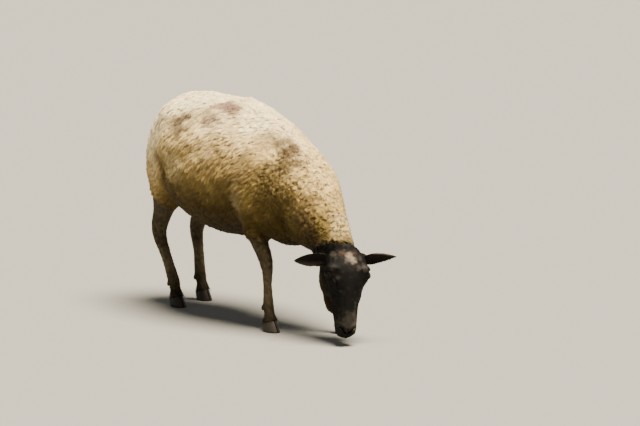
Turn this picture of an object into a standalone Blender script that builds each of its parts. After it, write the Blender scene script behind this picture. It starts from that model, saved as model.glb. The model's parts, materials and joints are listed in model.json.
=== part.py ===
# A life-size grazing ewe, black-faced and shorn some weeks ago, as a still model.
# Metres, +X towards the head, +Y to the animal's left, +Z up, hooves flat on Z = 0.
# The body is lofted limb by limb, fused into one smooth whole, and parted with thin cuts.

import math

import bmesh
import bpy
import numpy as np
from mathutils import Matrix, Vector

PART_GAP = 0.0004  # width of the thin cuts between neighbouring parts
FUSE_VOXEL = 0.005
FLESH_TRIANGLES = 4800
FLEECE_SMOOTHING = 70
FACE_CARE = 0.0001  # how much the plainness of a place counts when triangles are taken out
FACE_PLAIN, LEG_PLAIN = 0.1, 0.6  # plainness of the face and the legs, against 1 for the fleece
HEAD_FROM_X, HEAD_FROM = 0.50, -0.02  # the face lies ahead of this x and this far below the poll
LEG_TOP = 0.30  # the legs lie below this height
FLEECE_FADE = 0.06  # over this distance the fleece's smoothing comes in
FLEECE_STOP = 0.04  # and it stops this far behind the poll

HEAD_TURN = math.radians(22)  # the head is turned to the animal's right
HEAD_TILT = math.radians(18)  # muzzle forward of plumb
HEAD_ROLL = math.radians(4.3)  # muzzle swung to the animal's right
POLL = Vector((0.580, 0.000, 0.285))
EYE_RADIUS = 0.0135
EYE_GAP = 0.0003

SOLE_LENGTH = 0.060
CLAW_WIDTH = 0.0225
CLAW_CLEFT = 0.0024
WIDEST_CLAW = 0.38  # share of the claw's length, from the heel, where it is widest
HEEL_NARROWS = 0.30  # share of the width lost at the heel
TOE_CURVE = 2.3, 0.75  # exponents of the outline from the widest place to the toe
HEEL_SHARE = 0.42  # share of the claw's length behind the middle of the foot
CLAW_LEAN = 0.014  # how far the coronet sits behind the sole
CLAW_SHORTENS = 0.20  # share of the length lost from sole to coronet
CLAW_NARROWS = 0.08  # share of the width lost from sole to coronet
CLAW_RINGS = ((0.0, -0.0016), (0.07, 0.0), (0.5, -0.0002), (1.0, -0.0010))  # share of the height, growth
CORONET_HEIGHT = 0.033
CORONET_SLOPE = math.tan(math.radians(16))
CORONET_BACK = 0.006  # its middle lies this far behind the middle of the foot


# ---------- shared shapes ----------


def through(rows, steps):
    """Points of a smooth curve through the rows, with this many steps between two rows."""
    rows = [np.array(row, float) for row in rows]
    padded = [2 * rows[0] - rows[1], *rows, 2 * rows[-1] - rows[-2]]
    found = []
    for a, b, c, d in zip(padded, padded[1:], padded[2:], padded[3:]):
        for t in np.arange(steps) / steps:
            found.append(
                0.5
                * (
                    2 * b
                    + (c - a) * t
                    + (2 * a - 5 * b + 4 * c - d) * t**2
                    + (3 * b - a - 3 * c + d) * t**3
                )
            )
    return np.array([*found, rows[-1]])


def power(value, exponent):
    return math.copysign(abs(value) ** exponent, value)


def mesh_object(name, points, faces):
    mesh = bpy.data.meshes.new(name)
    mesh.from_pydata([tuple(p) for p in points], [], faces)
    made = bmesh.new()
    made.from_mesh(mesh)
    bmesh.ops.recalc_face_normals(made, faces=made.faces)
    made.to_mesh(mesh)
    made.free()
    obj = bpy.data.objects.new(name, mesh)
    bpy.context.scene.collection.objects.link(obj)
    return obj


def skinned_rings(name, rings):
    """A closed solid through rings of the same number of points."""
    count = len(rings[0])
    points = [point for ring in rings for point in ring]
    faces = [
        (r * count + i, r * count + (i + 1) % count, (r + 1) * count + (i + 1) % count, (r + 1) * count + i)
        for r in range(len(rings) - 1)
        for i in range(count)
    ]
    faces.append(tuple(reversed(range(count))))
    faces.append(tuple(range((len(rings) - 1) * count, len(rings) * count)))
    return mesh_object(name, points, faces)


def oval(middle, side, up, half_width, above, below, square_above, square_below, sides):
    """A ring of points: a superellipse with its own reach and squareness above and below."""
    ring = []
    for k in range(sides):
        angle = 2 * math.pi * k / sides
        c, s = math.cos(angle), math.sin(angle)
        reach, square = (above, square_above) if s > 0 else (below, square_below)
        ring.append(middle + side * (half_width * power(c, 2 / square)) + up * (reach * power(s, 2 / square)))
    return ring


def loft(name, rows, side_from, side_to=None, sides=28, steps=4, square=2.0):
    """A limb through rows of (x, y, z, half width, upper radius, lower radius, upper squareness).

    The width lies along a side vector that turns from side_from to side_to. Upper is the back of the
    trunk and neck, the front of a leg and the forehead of the head."""
    rows = through([(*row, square)[:7] for row in rows], steps)
    side_from = Vector(side_from)
    side_to = Vector(side_to or side_from)
    rings = []
    for i, row in enumerate(rows):
        before = Vector(rows[max(i - 1, 0)][:3])
        after = Vector(rows[min(i + 1, len(rows) - 1)][:3])
        along = (after - before).normalized()
        side = side_from.lerp(side_to, i / (len(rows) - 1))
        side = (side - along * side.dot(along)).normalized()
        up = along.cross(side)
        rings.append(oval(Vector(row[:3]), side, up, *row[3:], square, sides))
    return skinned_rings(name, rings)


def ball(name, centre, radii, axes=None, detail=3):
    """An ellipsoid with its radii along the given axes."""
    axes = axes or (Vector((1, 0, 0)), Vector((0, 1, 0)), Vector((0, 0, 1)))
    turn = Matrix((axes[0], axes[1], axes[2])).transposed()
    made = bmesh.new()
    bmesh.ops.create_icosphere(made, subdivisions=detail, radius=1)
    for vertex in made.verts:
        scaled = Vector(r * v for r, v in zip(radii, vertex.co))
        vertex.co = Vector(centre) + turn @ scaled
    if turn.determinant() < 0:
        bmesh.ops.reverse_faces(made, faces=made.faces)
    mesh = bpy.data.meshes.new(name)
    made.to_mesh(mesh)
    made.free()
    obj = bpy.data.objects.new(name, mesh)
    bpy.context.scene.collection.objects.link(obj)
    return obj


def slab(name, centre, normal, across, size, below=PART_GAP / 2, above=PART_GAP / 2):
    """A thin plate for a cut, square to normal, size = (along across, along the third axis)."""
    normal = Vector(normal).normalized()
    across = Vector(across)
    across = (across - normal * across.dot(normal)).normalized()
    third = normal.cross(across)
    corners = [
        Vector(centre) + across * (a * size[0] / 2) + third * (b * size[1] / 2) + normal * n
        for n in (-below, above)
        for a, b in ((-1, -1), (1, -1), (1, 1), (-1, 1))
    ]
    faces = [(0, 3, 2, 1), (4, 5, 6, 7), (0, 1, 5, 4), (1, 2, 6, 5), (2, 3, 7, 6), (3, 0, 4, 7)]
    return mesh_object(name, corners, faces)


def evaluated(obj):
    """Replaces an object's mesh with what its modifiers make of it."""
    graph = bpy.context.evaluated_depsgraph_get()
    graph.update()
    mesh = bpy.data.meshes.new_from_object(obj.evaluated_get(graph))
    obj.modifiers.clear()
    obj.data = mesh
    return obj


def joined(name, objects):
    """One object that holds copies of these meshes, which are removed."""
    made = bmesh.new()
    for obj in objects:
        made.from_mesh(obj.data)
        bpy.data.objects.remove(obj)
    mesh = bpy.data.meshes.new(name)
    made.to_mesh(mesh)
    made.free()
    obj = bpy.data.objects.new(name, mesh)
    bpy.context.scene.collection.objects.link(obj)
    return obj


def combine(obj, other, operation):
    modifier = obj.modifiers.new("join", "BOOLEAN")
    modifier.operation = operation
    modifier.solver = "EXACT"
    modifier.object = other
    evaluated(obj)
    bpy.data.objects.remove(other)
    return obj


# ---------- the trunk, neck and tail ----------

ACROSS = (0, 1, 0)
UP = (0, 0, 1)
# x, height of the back, height of the belly, half width, squareness of the back
TRUNK_STATIONS = [
    (-0.442, 0.590, 0.500, 0.030, 2.0),
    (-0.432, 0.624, 0.462, 0.062, 2.0),
    (-0.402, 0.658, 0.420, 0.095, 2.0),
    (-0.345, 0.694, 0.378, 0.127, 2.0),
    (-0.270, 0.723, 0.345, 0.157, 2.0),
    (-0.180, 0.731, 0.316, 0.184, 2.0),
    (-0.080, 0.725, 0.290, 0.201, 2.0),
    (0.020, 0.725, 0.277, 0.202, 1.95),
    (0.110, 0.708, 0.282, 0.190, 1.8),
    (0.195, 0.683, 0.290, 0.173, 1.75),
    (0.265, 0.653, 0.286, 0.157, 1.8),
    (0.330, 0.592, 0.274, 0.128, 2.0),
    (0.380, 0.520, 0.292, 0.092, 2.0),
    (0.406, 0.455, 0.335, 0.046, 2.0),
]
WIDEST_AT = 0.46  # share of the trunk's depth, from the belly up
FLANK_SQUARE = 2.25


def trunk():
    rings = []
    for x, back, belly, half_width, square in through(TRUNK_STATIONS, 4):
        middle = Vector((x, 0, belly + WIDEST_AT * (back - belly)))
        reach = back - middle.z, middle.z - belly
        rings.append(oval(middle, Vector(ACROSS), Vector(UP), half_width, *reach, square, FLANK_SQUARE, 40))
    masses = [skinned_rings("barrel", rings)]
    for side in (-1, 1):
        masses.append(ball("hip", (-0.235, side * 0.080, 0.632), (0.085, 0.068, 0.070)))
        masses.append(ball("thigh_bulk", (-0.335, side * 0.056, 0.495), (0.078, 0.066, 0.120)))
        masses.append(ball("shoulder", (0.225, side * 0.100, 0.455), (0.090, 0.066, 0.140)))
        masses.append(ball("shoulder_point", (0.318, side * 0.078, 0.410), (0.066, 0.056, 0.080)))
    masses.append(ball("udder", (-0.262, 0, 0.352), (0.070, 0.050, 0.042)))
    return masses


HEAD_AHEAD = Vector((math.cos(HEAD_TURN), -math.sin(HEAD_TURN), 0))
HEAD_ACROSS = Vector((math.sin(HEAD_TURN), math.cos(HEAD_TURN), 0))  # to the animal's left
FACE_PLUMB = HEAD_AHEAD * math.sin(HEAD_TILT) - Vector((0, 0, math.cos(HEAD_TILT)))
FACE_OUT = HEAD_AHEAD * math.cos(HEAD_TILT) + Vector((0, 0, math.sin(HEAD_TILT)))
FACE_DOWN = FACE_PLUMB * math.cos(HEAD_ROLL) - HEAD_ACROSS * math.sin(HEAD_ROLL)
HEAD_SIDE = HEAD_ACROSS * math.cos(HEAD_ROLL) + FACE_PLUMB * math.sin(HEAD_ROLL)


def on_head(down, side, out):
    """A point from its distance below the poll, to the animal's left and out of the forehead."""
    return POLL + FACE_DOWN * down + HEAD_SIDE * side + FACE_OUT * out


def neck():
    nape = on_head(0.035, -0.010, -0.035)
    rows = [
        (0.190, 0, 0.490, 0.145, 0.158, 0.165),
        (0.285, 0, 0.460, 0.141, 0.160, 0.160),
        (0.375, 0, 0.420, 0.117, 0.138, 0.140),
        (0.450, -0.008, 0.370, 0.091, 0.108, 0.110),
        (0.510, -0.007, 0.318, 0.067, 0.086, 0.080),
        (*nape, 0.061, 0.062, 0.056),
    ]
    return loft("neck_flesh", rows, ACROSS, HEAD_SIDE, sides=32)


def tail():
    """A docked, woolly tail that lies along the rump."""
    rows = [
        (-0.365, 0, 0.636, 0.034, 0.020, 0.028),
        (-0.406, 0, 0.628, 0.037, 0.024, 0.026),
        (-0.435, 0, 0.598, 0.036, 0.022, 0.022),
        (-0.443, 0, 0.555, 0.032, 0.019, 0.020),
        (-0.443, 0, 0.520, 0.024, 0.014, 0.015),
        (-0.441, 0, 0.504, 0.011, 0.007, 0.008),
    ]
    return loft("tail", rows, ACROSS, sides=16, steps=3)


# ---------- the head ----------

# distance below the poll, half width, reach to the forehead, reach to the throat, squareness
HEAD_STATIONS = [
    (-0.030, 0.020, 0.012, 0.030, 2.0),
    (-0.018, 0.032, 0.025, 0.052, 2.1),
    (0.005, 0.051, 0.040, 0.070, 2.2),
    (0.035, 0.066, 0.052, 0.084, 2.5),
    (0.065, 0.066, 0.058, 0.094, 2.6),
    (0.095, 0.060, 0.057, 0.098, 2.6),
    (0.125, 0.050, 0.053, 0.096, 2.4),
    (0.155, 0.042, 0.048, 0.085, 2.2),
    (0.185, 0.038, 0.043, 0.066, 2.2),
    (0.213, 0.0355, 0.038, 0.049, 2.2),
    (0.236, 0.0340, 0.034, 0.041, 2.2),
    (0.253, 0.0310, 0.028, 0.035, 2.2),
    (0.264, 0.0250, 0.019, 0.025, 2.2),
    (0.270, 0.0130, 0.009, 0.013, 2.2),
]
JAW_SQUARE = 2.35
JAW_RISE = math.radians(22)  # of the lower jaw towards the chin


def head():
    rows = [(*on_head(down, 0, 0), *sizes) for down, *sizes in HEAD_STATIONS]
    masses = [loft("skull", rows, HEAD_SIDE, sides=36, square=JAW_SQUARE)]
    axes = (FACE_DOWN, HEAD_SIDE, FACE_OUT)
    jaw_line = FACE_DOWN * math.cos(JAW_RISE) + FACE_OUT * math.sin(JAW_RISE)
    jaw_axes = (jaw_line, HEAD_SIDE, jaw_line.cross(HEAD_SIDE))
    for side in (-1, 1):
        masses.append(ball("brow", on_head(0.064, side * 0.054, 0.030), (0.024, 0.017, 0.020), axes))
        masses.append(ball("orbit", on_head(0.082, side * 0.052, 0.020), (0.026, 0.0165, 0.024), axes))
        masses.append(ball("cheek", on_head(0.074, side * 0.047, -0.046), (0.060, 0.0260, 0.044), axes))
        masses.append(ball("face_crest", on_head(0.120, side * 0.037, 0.006), (0.040, 0.0135, 0.014), axes))
        masses.append(ball("mandible", on_head(0.126, side * 0.037, -0.063), (0.068, 0.020, 0.025), jaw_axes))
        masses.append(ball("nostril_wing", on_head(0.245, side * 0.016, 0.018), (0.015, 0.012, 0.012), axes))
        masses.append(ball("jaw_hinge", on_head(0.045, side * 0.046, -0.052), (0.036, 0.024, 0.036), axes))
        masses.append(ball("ear_root", on_head(0.022, side * 0.053, -0.010), (0.021, 0.021, 0.020), axes))
    masses.append(ball("chin", on_head(0.249, 0, -0.024), (0.014, 0.020, 0.012), axes))
    masses.append(ball("poll_tuft", on_head(-0.004, 0, 0.012), (0.024, 0.034, 0.026), axes))
    return masses


EYE_DOWN, EYE_SIDE, EYE_OUT = 0.078, 0.0595, 0.0275

EAR_LENGTH = 0.122
EAR_FORWARD = {"right": math.radians(24), "left": math.radians(38)}
EAR_RAISE = {"right": math.radians(5), "left": math.radians(12)}
EAR_DROOP = {"right": (0.45, 0.25), "left": (0.55, 1.6)}  # how far its mouth faces down, at root and tip
EAR_SAG = {"right": 0.004, "left": 0.006}  # how far the tip droops from the straight line
EAR_ROOT = 0.024, 0.055, -0.010
# share of the length, half height of the blade, cupping, half thickness
EAR_STATIONS = [
    (0.00, 0.0150, 0.004, 0.0105),
    (0.10, 0.0165, 0.006, 0.0078),
    (0.25, 0.0190, 0.010, 0.0044),
    (0.45, 0.0190, 0.011, 0.0032),
    (0.65, 0.0165, 0.009, 0.0028),
    (0.82, 0.0115, 0.005, 0.0024),
    (0.94, 0.0060, 0.002, 0.0019),
    (1.00, 0.0022, 0.000, 0.0012),
]
EAR_POINTS = 9  # across the blade


def ear(which, side):
    """A level, cupped leaf of an ear that opens forward and down and turns towards its tip."""
    down, across, out = EAR_ROOT
    forward, rise = EAR_FORWARD[which], EAR_RAISE[which]
    root = on_head(down, side * across, out)
    along = HEAD_ACROSS * (side * math.cos(forward)) + HEAD_AHEAD * math.sin(forward)
    along = along * math.cos(rise) + Vector((0, 0, math.sin(rise)))
    level = HEAD_AHEAD * math.cos(forward) - HEAD_ACROSS * (side * math.sin(forward))
    rings = []
    for share, half_height, cup, half_thick in through(EAR_STATIONS, 1):
        droop = np.interp(share, (0, 1), EAR_DROOP[which])
        mouth = level - Vector((0, 0, droop))
        mouth = (mouth - along * mouth.dot(along)).normalized()
        tall = along.cross(mouth)
        centre = root + along * (share * EAR_LENGTH) - Vector((0, 0, EAR_SAG[which] * share**2))
        front, back = [], []
        for k in range(EAR_POINTS):
            v = 2 * k / (EAR_POINTS - 1) - 1
            thick = half_thick * (0.25 + 0.75 * math.sqrt(1 - v * v))
            line = centre + tall * (v * half_height) - mouth * (cup * (1 - v * v))
            front.append(line + mouth * thick)
            back.append(line - mouth * thick)
        rings.append(front + back[::-1])
    return skinned_rings("ear_" + which, rings)


# ---------- the legs ----------

# Places of the joints, each (x, y, z), and how thick the limb is there
FORE_JOINTS = {
    "right": {
        "top": (0.245, -0.105, 0.460),
        "elbow": (0.245, -0.112, 0.345),
        "forearm": (0.260, -0.102, 0.290),
        "knee": (0.280, -0.090, 0.218),
        "cannon": (0.281, -0.087, 0.150),
        "fetlock": (0.286, -0.086, 0.088),
        "hoof": (0.306, -0.087, 0.0),
    },
    "left": {
        "top": (0.275, 0.105, 0.460),
        "elbow": (0.310, 0.112, 0.350),
        "forearm": (0.362, 0.098, 0.290),
        "knee": (0.412, 0.084, 0.222),
        "cannon": (0.430, 0.081, 0.152),
        "fetlock": (0.447, 0.080, 0.088),
        "hoof": (0.468, 0.080, 0.0),
    },
}
FORE_THICKNESS = {  # half width, reach forward, reach back
    "top": (0.045, 0.062, 0.070),
    "elbow": (0.037, 0.042, 0.050),
    "forearm": (0.0275, 0.029, 0.033),
    "knee": (0.0215, 0.0225, 0.0205),
    "cannon": (0.0150, 0.0145, 0.0160),
    "fetlock": (0.0175, 0.0160, 0.0190),
    "pastern": (0.0180, 0.0150, 0.0165),
    "coronet": (0.0235, 0.0220, 0.0260),
}
HIND_JOINTS = {
    "right": {
        "top": (-0.300, -0.082, 0.560),
        "thigh": (-0.290, -0.090, 0.470),
        "stifle": (-0.286, -0.092, 0.395),
        "gaskin": (-0.324, -0.084, 0.322),
        "hock": (-0.366, -0.074, 0.246),
        "cannon": (-0.332, -0.068, 0.165),
        "fetlock": (-0.296, -0.063, 0.088),
        "hoof": (-0.270, -0.062, 0.0),
    },
    "left": {
        "top": (-0.310, 0.082, 0.560),
        "thigh": (-0.298, 0.090, 0.470),
        "stifle": (-0.294, 0.094, 0.395),
        "gaskin": (-0.334, 0.090, 0.322),
        "hock": (-0.378, 0.087, 0.246),
        "cannon": (-0.366, 0.086, 0.165),
        "fetlock": (-0.356, 0.085, 0.088),
        "hoof": (-0.330, 0.085, 0.0),
    },
}
HIND_THICKNESS = {
    "top": (0.052, 0.100, 0.100),
    "thigh": (0.054, 0.098, 0.104),
    "stifle": (0.046, 0.066, 0.088),
    "gaskin": (0.031, 0.036, 0.044),
    "hock": (0.0235, 0.0275, 0.0290),
    "cannon": (0.0175, 0.0175, 0.0195),
    "fetlock": (0.0200, 0.0185, 0.0215),
    "pastern": (0.0190, 0.0160, 0.0178),
    "coronet": (0.0235, 0.0220, 0.0260),
}
LIMB_RUN_ON = 0.03  # the limb runs on below the coronet, where it is cut off


def leg(name, joints, thickness):
    hoof, fetlock = Vector(joints["hoof"]), Vector(joints["fetlock"])
    coronet_middle = hoof + Vector((-0.009, 0, CORONET_HEIGHT))
    rows = [(*joints[key], *thickness[key]) for key in joints if key != "hoof"]
    rows.append((*fetlock.lerp(coronet_middle, 0.5), *thickness["pastern"]))
    rows.append((*coronet_middle, *thickness["coronet"]))
    rows.append((*(coronet_middle + Vector((0.006, 0, -LIMB_RUN_ON))), *thickness["coronet"]))
    masses = [loft(name, rows, ACROSS, sides=22, square=2.1)]
    for side in (-1, 1):
        claw = fetlock + Vector((-0.020, side * 0.009, -0.012))
        masses.append(ball("dewclaw", claw, (0.008, 0.0065, 0.0095), detail=2))
    if "hock" in joints:
        hock = Vector(joints["hock"])
        masses.append(ball("hock_point", hock + Vector((-0.021, 0, 0.018)), (0.015, 0.012, 0.024), detail=2))
    return masses


def coronet(ahead):
    """Height of the coronet plane at a distance ahead of the middle of the foot."""
    return CORONET_HEIGHT + CORONET_SLOPE * (ahead + CORONET_BACK)


def claw_outline(grow):
    """Half-moon outline of one claw seen from above, toe at +X, its outer wall at +Y."""
    width, length = CLAW_WIDTH + grow, SOLE_LENGTH + 2 * grow
    inner = CLAW_CLEFT / 2
    points = []
    for k in range(11):
        t = k / 10
        if t < WIDEST_CLAW:
            bulge = 1 - HEEL_NARROWS * ((WIDEST_CLAW - t) / WIDEST_CLAW) ** 2
        else:
            bulge = (1 - ((t - WIDEST_CLAW) / (1 - WIDEST_CLAW)) ** TOE_CURVE[0]) ** TOE_CURVE[1]
        points.append((length * (t - HEEL_SHARE), inner + width * bulge))
    points.append((0.40 * length, inner + 0.0014))
    points.append((0.10 * length, inner + 0.0004))
    points.append((-HEEL_SHARE * length, inner))
    return points


def claw(name, foot, side):
    """One horn claw: flat on the floor, its walls leaning back to the sloping coronet."""
    rings = []
    for share, grow in CLAW_RINGS:
        ring = []
        for x, y in claw_outline(grow):
            ahead = x * (1 - CLAW_SHORTENS * share) - CLAW_LEAN * share
            across = side * (y * (1 - CLAW_NARROWS * share) + PART_GAP * share)
            ring.append((foot[0] + ahead, foot[1] + across, share * (coronet(ahead) - PART_GAP)))
        rings.append(ring)
    return skinned_rings(name, rings)


# ---------- fusing and parting ----------


NECK_CUT = (0.385, 0.0, 0.460), (0.96, 0.0, 0.28)
HEAD_CUT = (on_head(0.030, 0, -0.055), FACE_DOWN * 0.73 + FACE_OUT * 0.68)
FORE_TOP_CUT = {"right": (0.258, -0.106, 0.286), "left": (0.350, 0.102, 0.292)}
FORE_TOP_TILT = {"right": (0.0, 0.45, 0.89), "left": (-0.35, -0.38, 0.86)}
HIND_TOP_CUT = {"right": (-0.310, -0.098, 0.358), "left": (-0.320, 0.098, 0.358)}
HIND_TOP_TILT = (0.42, 0.32, 0.85)


def flesh():
    """The whole body but its ears and tail, fused from its masses and smoothed."""
    masses = [*trunk(), neck(), *head()]
    for side in ("right", "left"):
        masses += leg("foreleg", FORE_JOINTS[side], FORE_THICKNESS)
        masses += leg("hindleg", HIND_JOINTS[side], HIND_THICKNESS)
    whole = joined("sheep", masses)
    fuse = whole.modifiers.new("fuse", "REMESH")
    fuse.mode = "VOXEL"
    fuse.voxel_size = FUSE_VOXEL
    evaluated(whole)
    body = whole.vertex_groups.new(name="body")
    plain = whole.vertex_groups.new(name="plain")
    for vertex in whole.data.vertices:
        x, _, z = vertex.co
        below_poll = (vertex.co - POLL).dot(FACE_DOWN)
        on_face = x > HEAD_FROM_X and below_poll > HEAD_FROM
        above_legs = min(1.0, max(0.0, (z - LEG_TOP) / FLEECE_FADE))
        behind_head = min(1.0, max(0.0, (POLL.x - FLEECE_STOP - x) / FLEECE_FADE))
        body.add([vertex.index], above_legs * behind_head, "REPLACE")
        plain.add([vertex.index], FACE_PLAIN if on_face else LEG_PLAIN if z < LEG_TOP else 1.0, "REPLACE")
    for name, group, repeat in (("soften", "body", FLEECE_SMOOTHING), ("settle", "", 3)):
        smooth = whole.modifiers.new(name, "SMOOTH")
        smooth.vertex_group = group
        smooth.factor = 0.5
        smooth.iterations = repeat
    thin = whole.modifiers.new("thin", "DECIMATE")
    thin.ratio = FLESH_TRIANGLES / (2 * len(whole.data.polygons))
    thin.vertex_group = "plain"
    thin.vertex_group_factor = FACE_CARE
    thin.use_collapse_triangulate = True
    return evaluated(whole)


def part_cuts(whole):
    """Cuts the body at the neck, poll and limbs, and ends each limb at its coronet."""
    plates = [slab("cut", *NECK_CUT, ACROSS, (0.42, 0.46)), slab("cut", *HEAD_CUT, HEAD_SIDE, (0.24, 0.26))]
    for side, sign in (("right", 1), ("left", -1)):
        fore, hind = FORE_JOINTS[side], HIND_JOINTS[side]
        plates.append(slab("cut", FORE_TOP_CUT[side], FORE_TOP_TILT[side], (1, 0, 0), (0.20, 0.13)))
        tilt = Vector(HIND_TOP_TILT)
        tilt.y *= sign
        plates.append(slab("cut", HIND_TOP_CUT[side], tilt, (1, 0, 0), (0.26, 0.118)))
        plates.append(slab("cut", fore["knee"], (0, 0, 1), (1, 0, 0), (0.08, 0.08)))
        hock = Vector(hind["hock"]) + Vector((0.004, 0, -0.020))
        plates.append(slab("cut", hock, (0.2, 0, 1), (1, 0, 0), (0.10, 0.08)))
        for joints in (fore, hind):
            place = Vector(joints["hoof"]) + Vector((-CORONET_BACK, 0, CORONET_HEIGHT))
            normal = (-CORONET_SLOPE, 0, 1)
            plates.append(slab("cut", place, normal, (1, 0, 0), (0.10, 0.08), below=0.06, above=0))
    for plate in plates:
        combine(whole, plate, "DIFFERENCE")


def islands(obj):
    """The loose parts of an object as new objects, each with its middle."""
    made = bmesh.new()
    made.from_mesh(obj.data)
    seen = set()
    found = []
    for start in made.verts:
        if start in seen:
            continue
        patch, reach = {start}, [start]
        while reach:
            for edge in reach.pop().link_edges:
                for vertex in edge.verts:
                    if vertex not in patch:
                        patch.add(vertex)
                        reach.append(vertex)
        seen |= patch
        order = {vertex: i for i, vertex in enumerate(patch)}
        faces = {face for vertex in patch for face in vertex.link_faces}
        points = [vertex.co.copy() for vertex in order]
        piece = mesh_object("piece", points, [[order[v] for v in face.verts] for face in faces])
        found.append((piece, sum(points, Vector()) / len(points)))
    made.free()
    return found


def swollen(obj, by):
    """A copy of an object pushed out along its normals, as a cutter that leaves a gap."""
    copy = bpy.data.objects.new("cutter", obj.data.copy())
    bpy.context.scene.collection.objects.link(copy)
    push = copy.modifiers.new("push", "DISPLACE")
    push.mid_level = 0
    push.strength = by
    return evaluated(copy)


def fitted(obj, neighbour):
    """Cuts an object back from its neighbour, with the touching gap between them."""
    return combine(obj, swollen(neighbour, PART_GAP), "DIFFERENCE")


def material(name, colour, roughness):
    made = bpy.data.materials.new(name)
    made.use_nodes = True
    surface = made.node_tree.nodes["Principled BSDF"]
    surface.inputs["Base Color"].default_value = (*colour, 1)
    surface.inputs["Roughness"].default_value = roughness
    made.diffuse_color = (*colour, 1)
    made.roughness = roughness
    return made


def body_middles():
    """Where the middle of each fleshy part lies, to name it by."""
    middles = {"trunk": Vector((-0.03, 0, 0.46)), "neck": Vector((0.46, 0, 0.39)), "head": on_head(0.1, 0, 0)}
    for side in ("right", "left"):
        fore, hind = FORE_JOINTS[side], HIND_JOINTS[side]
        middles["foreleg_" + side] = Vector(fore["forearm"]).lerp(Vector(fore["knee"]), 0.4)
        middles["foreshank_" + side] = Vector(fore["cannon"]).lerp(Vector(fore["fetlock"]), 0.5)
        middles["hindleg_" + side] = Vector(hind["gaskin"]).lerp(Vector(hind["hock"]), 0.3)
        middles["hindshank_" + side] = Vector(hind["cannon"]).lerp(Vector(hind["fetlock"]), 0.5)
    return middles


def hooves():
    made = []
    for end, legs in (("fore", FORE_JOINTS), ("hind", HIND_JOINTS)):
        for side, sign in (("right", -1), ("left", 1)):
            foot = legs[side]["hoof"]
            made.append(claw(f"hoof_{end}_{side}_outer", foot, sign))
            made.append(claw(f"hoof_{end}_{side}_inner", foot, -sign))
    return made


def main():
    for obj in list(bpy.data.objects):
        bpy.data.objects.remove(obj)
    wool = material("cream_wool", (0.66, 0.57, 0.42), 0.95)
    hair = material("dark_hair", (0.035, 0.032, 0.030), 0.7)
    horn = material("hoof_horn", (0.030, 0.026, 0.022), 0.5)
    eye = material("eye", (0.012, 0.008, 0.005), 0.08)

    whole = flesh()
    part_cuts(whole)
    middles = body_middles()
    parts = {}
    for piece, middle in islands(whole):
        name = min(middles, key=lambda key: (middles[key] - middle).length)
        piece.name = name
        parts[name] = piece
    bpy.data.objects.remove(whole)

    for name, side in (("right", -1), ("left", 1)):
        parts["ear_" + name] = fitted(ear(name, side), parts["head"])
        place = on_head(EYE_DOWN, side * EYE_SIDE, EYE_OUT)
        socket = ball("socket", place, [EYE_RADIUS + EYE_GAP] * 3)
        combine(parts["head"], socket, "DIFFERENCE")
        parts["eye_" + name] = ball("eye_" + name, place, [EYE_RADIUS] * 3)
    parts["tail"] = fitted(tail(), parts["trunk"])
    for obj in hooves():
        parts[obj.name] = obj

    for name, obj in parts.items():
        finish = horn if "hoof" in name else eye if "eye" in name else hair
        finish = wool if name in ("trunk", "neck", "tail") else finish
        obj.data.materials.clear()
        obj.data.materials.append(finish)
        obj.data.shade_smooth()
        obj.data.set_sharp_from_angle(angle=math.radians(50))

    corners = [v.co for obj in parts.values() for v in obj.data.vertices]
    middle_x = (max(c.x for c in corners) + min(c.x for c in corners)) / 2
    middle_y = (max(c.y for c in corners) + min(c.y for c in corners)) / 2
    for obj in parts.values():
        obj.data.transform(Matrix.Translation((-middle_x, -middle_y, 0)))


main()
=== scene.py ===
import json
import math

import bmesh
import bpy
import numpy as np
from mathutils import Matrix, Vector
from mathutils.bvhtree import BVHTree
from mathutils.kdtree import KDTree

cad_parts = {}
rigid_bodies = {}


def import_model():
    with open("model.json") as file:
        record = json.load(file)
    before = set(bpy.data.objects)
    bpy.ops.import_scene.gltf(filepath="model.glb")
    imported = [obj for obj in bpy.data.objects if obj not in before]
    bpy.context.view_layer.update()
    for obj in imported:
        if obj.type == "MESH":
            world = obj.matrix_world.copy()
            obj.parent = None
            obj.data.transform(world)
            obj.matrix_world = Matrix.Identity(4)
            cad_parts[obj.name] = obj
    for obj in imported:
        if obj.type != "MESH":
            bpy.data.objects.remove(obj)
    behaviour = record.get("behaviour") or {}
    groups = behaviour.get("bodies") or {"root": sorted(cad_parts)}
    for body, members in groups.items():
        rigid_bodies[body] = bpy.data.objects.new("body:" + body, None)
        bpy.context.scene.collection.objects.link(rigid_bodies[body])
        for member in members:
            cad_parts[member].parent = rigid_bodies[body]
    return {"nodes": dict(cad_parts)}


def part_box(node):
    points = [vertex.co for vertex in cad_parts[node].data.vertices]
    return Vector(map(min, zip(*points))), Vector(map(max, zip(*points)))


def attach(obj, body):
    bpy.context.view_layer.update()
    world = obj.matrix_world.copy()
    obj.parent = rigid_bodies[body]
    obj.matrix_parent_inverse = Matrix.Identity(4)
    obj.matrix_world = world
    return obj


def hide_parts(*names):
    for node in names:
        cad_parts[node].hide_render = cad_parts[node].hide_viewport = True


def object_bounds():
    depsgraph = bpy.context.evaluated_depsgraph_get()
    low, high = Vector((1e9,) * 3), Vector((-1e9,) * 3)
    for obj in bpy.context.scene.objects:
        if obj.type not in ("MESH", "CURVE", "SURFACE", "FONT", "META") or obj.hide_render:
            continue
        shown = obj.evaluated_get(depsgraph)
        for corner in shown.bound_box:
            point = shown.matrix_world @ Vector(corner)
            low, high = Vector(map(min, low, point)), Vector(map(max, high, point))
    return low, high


# A black-faced ewe, shorn some weeks ago, grazing. Metres, +X to the head, +Y to her left.
# One skin under the whole coat, wool in locks, short hair in small tufts, eyes and claws apart.

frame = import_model()
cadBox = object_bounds()
random = np.random.default_rng(20)


def boxMiddle(node):
    low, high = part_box(node)
    return (low + high) / 2


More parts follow.
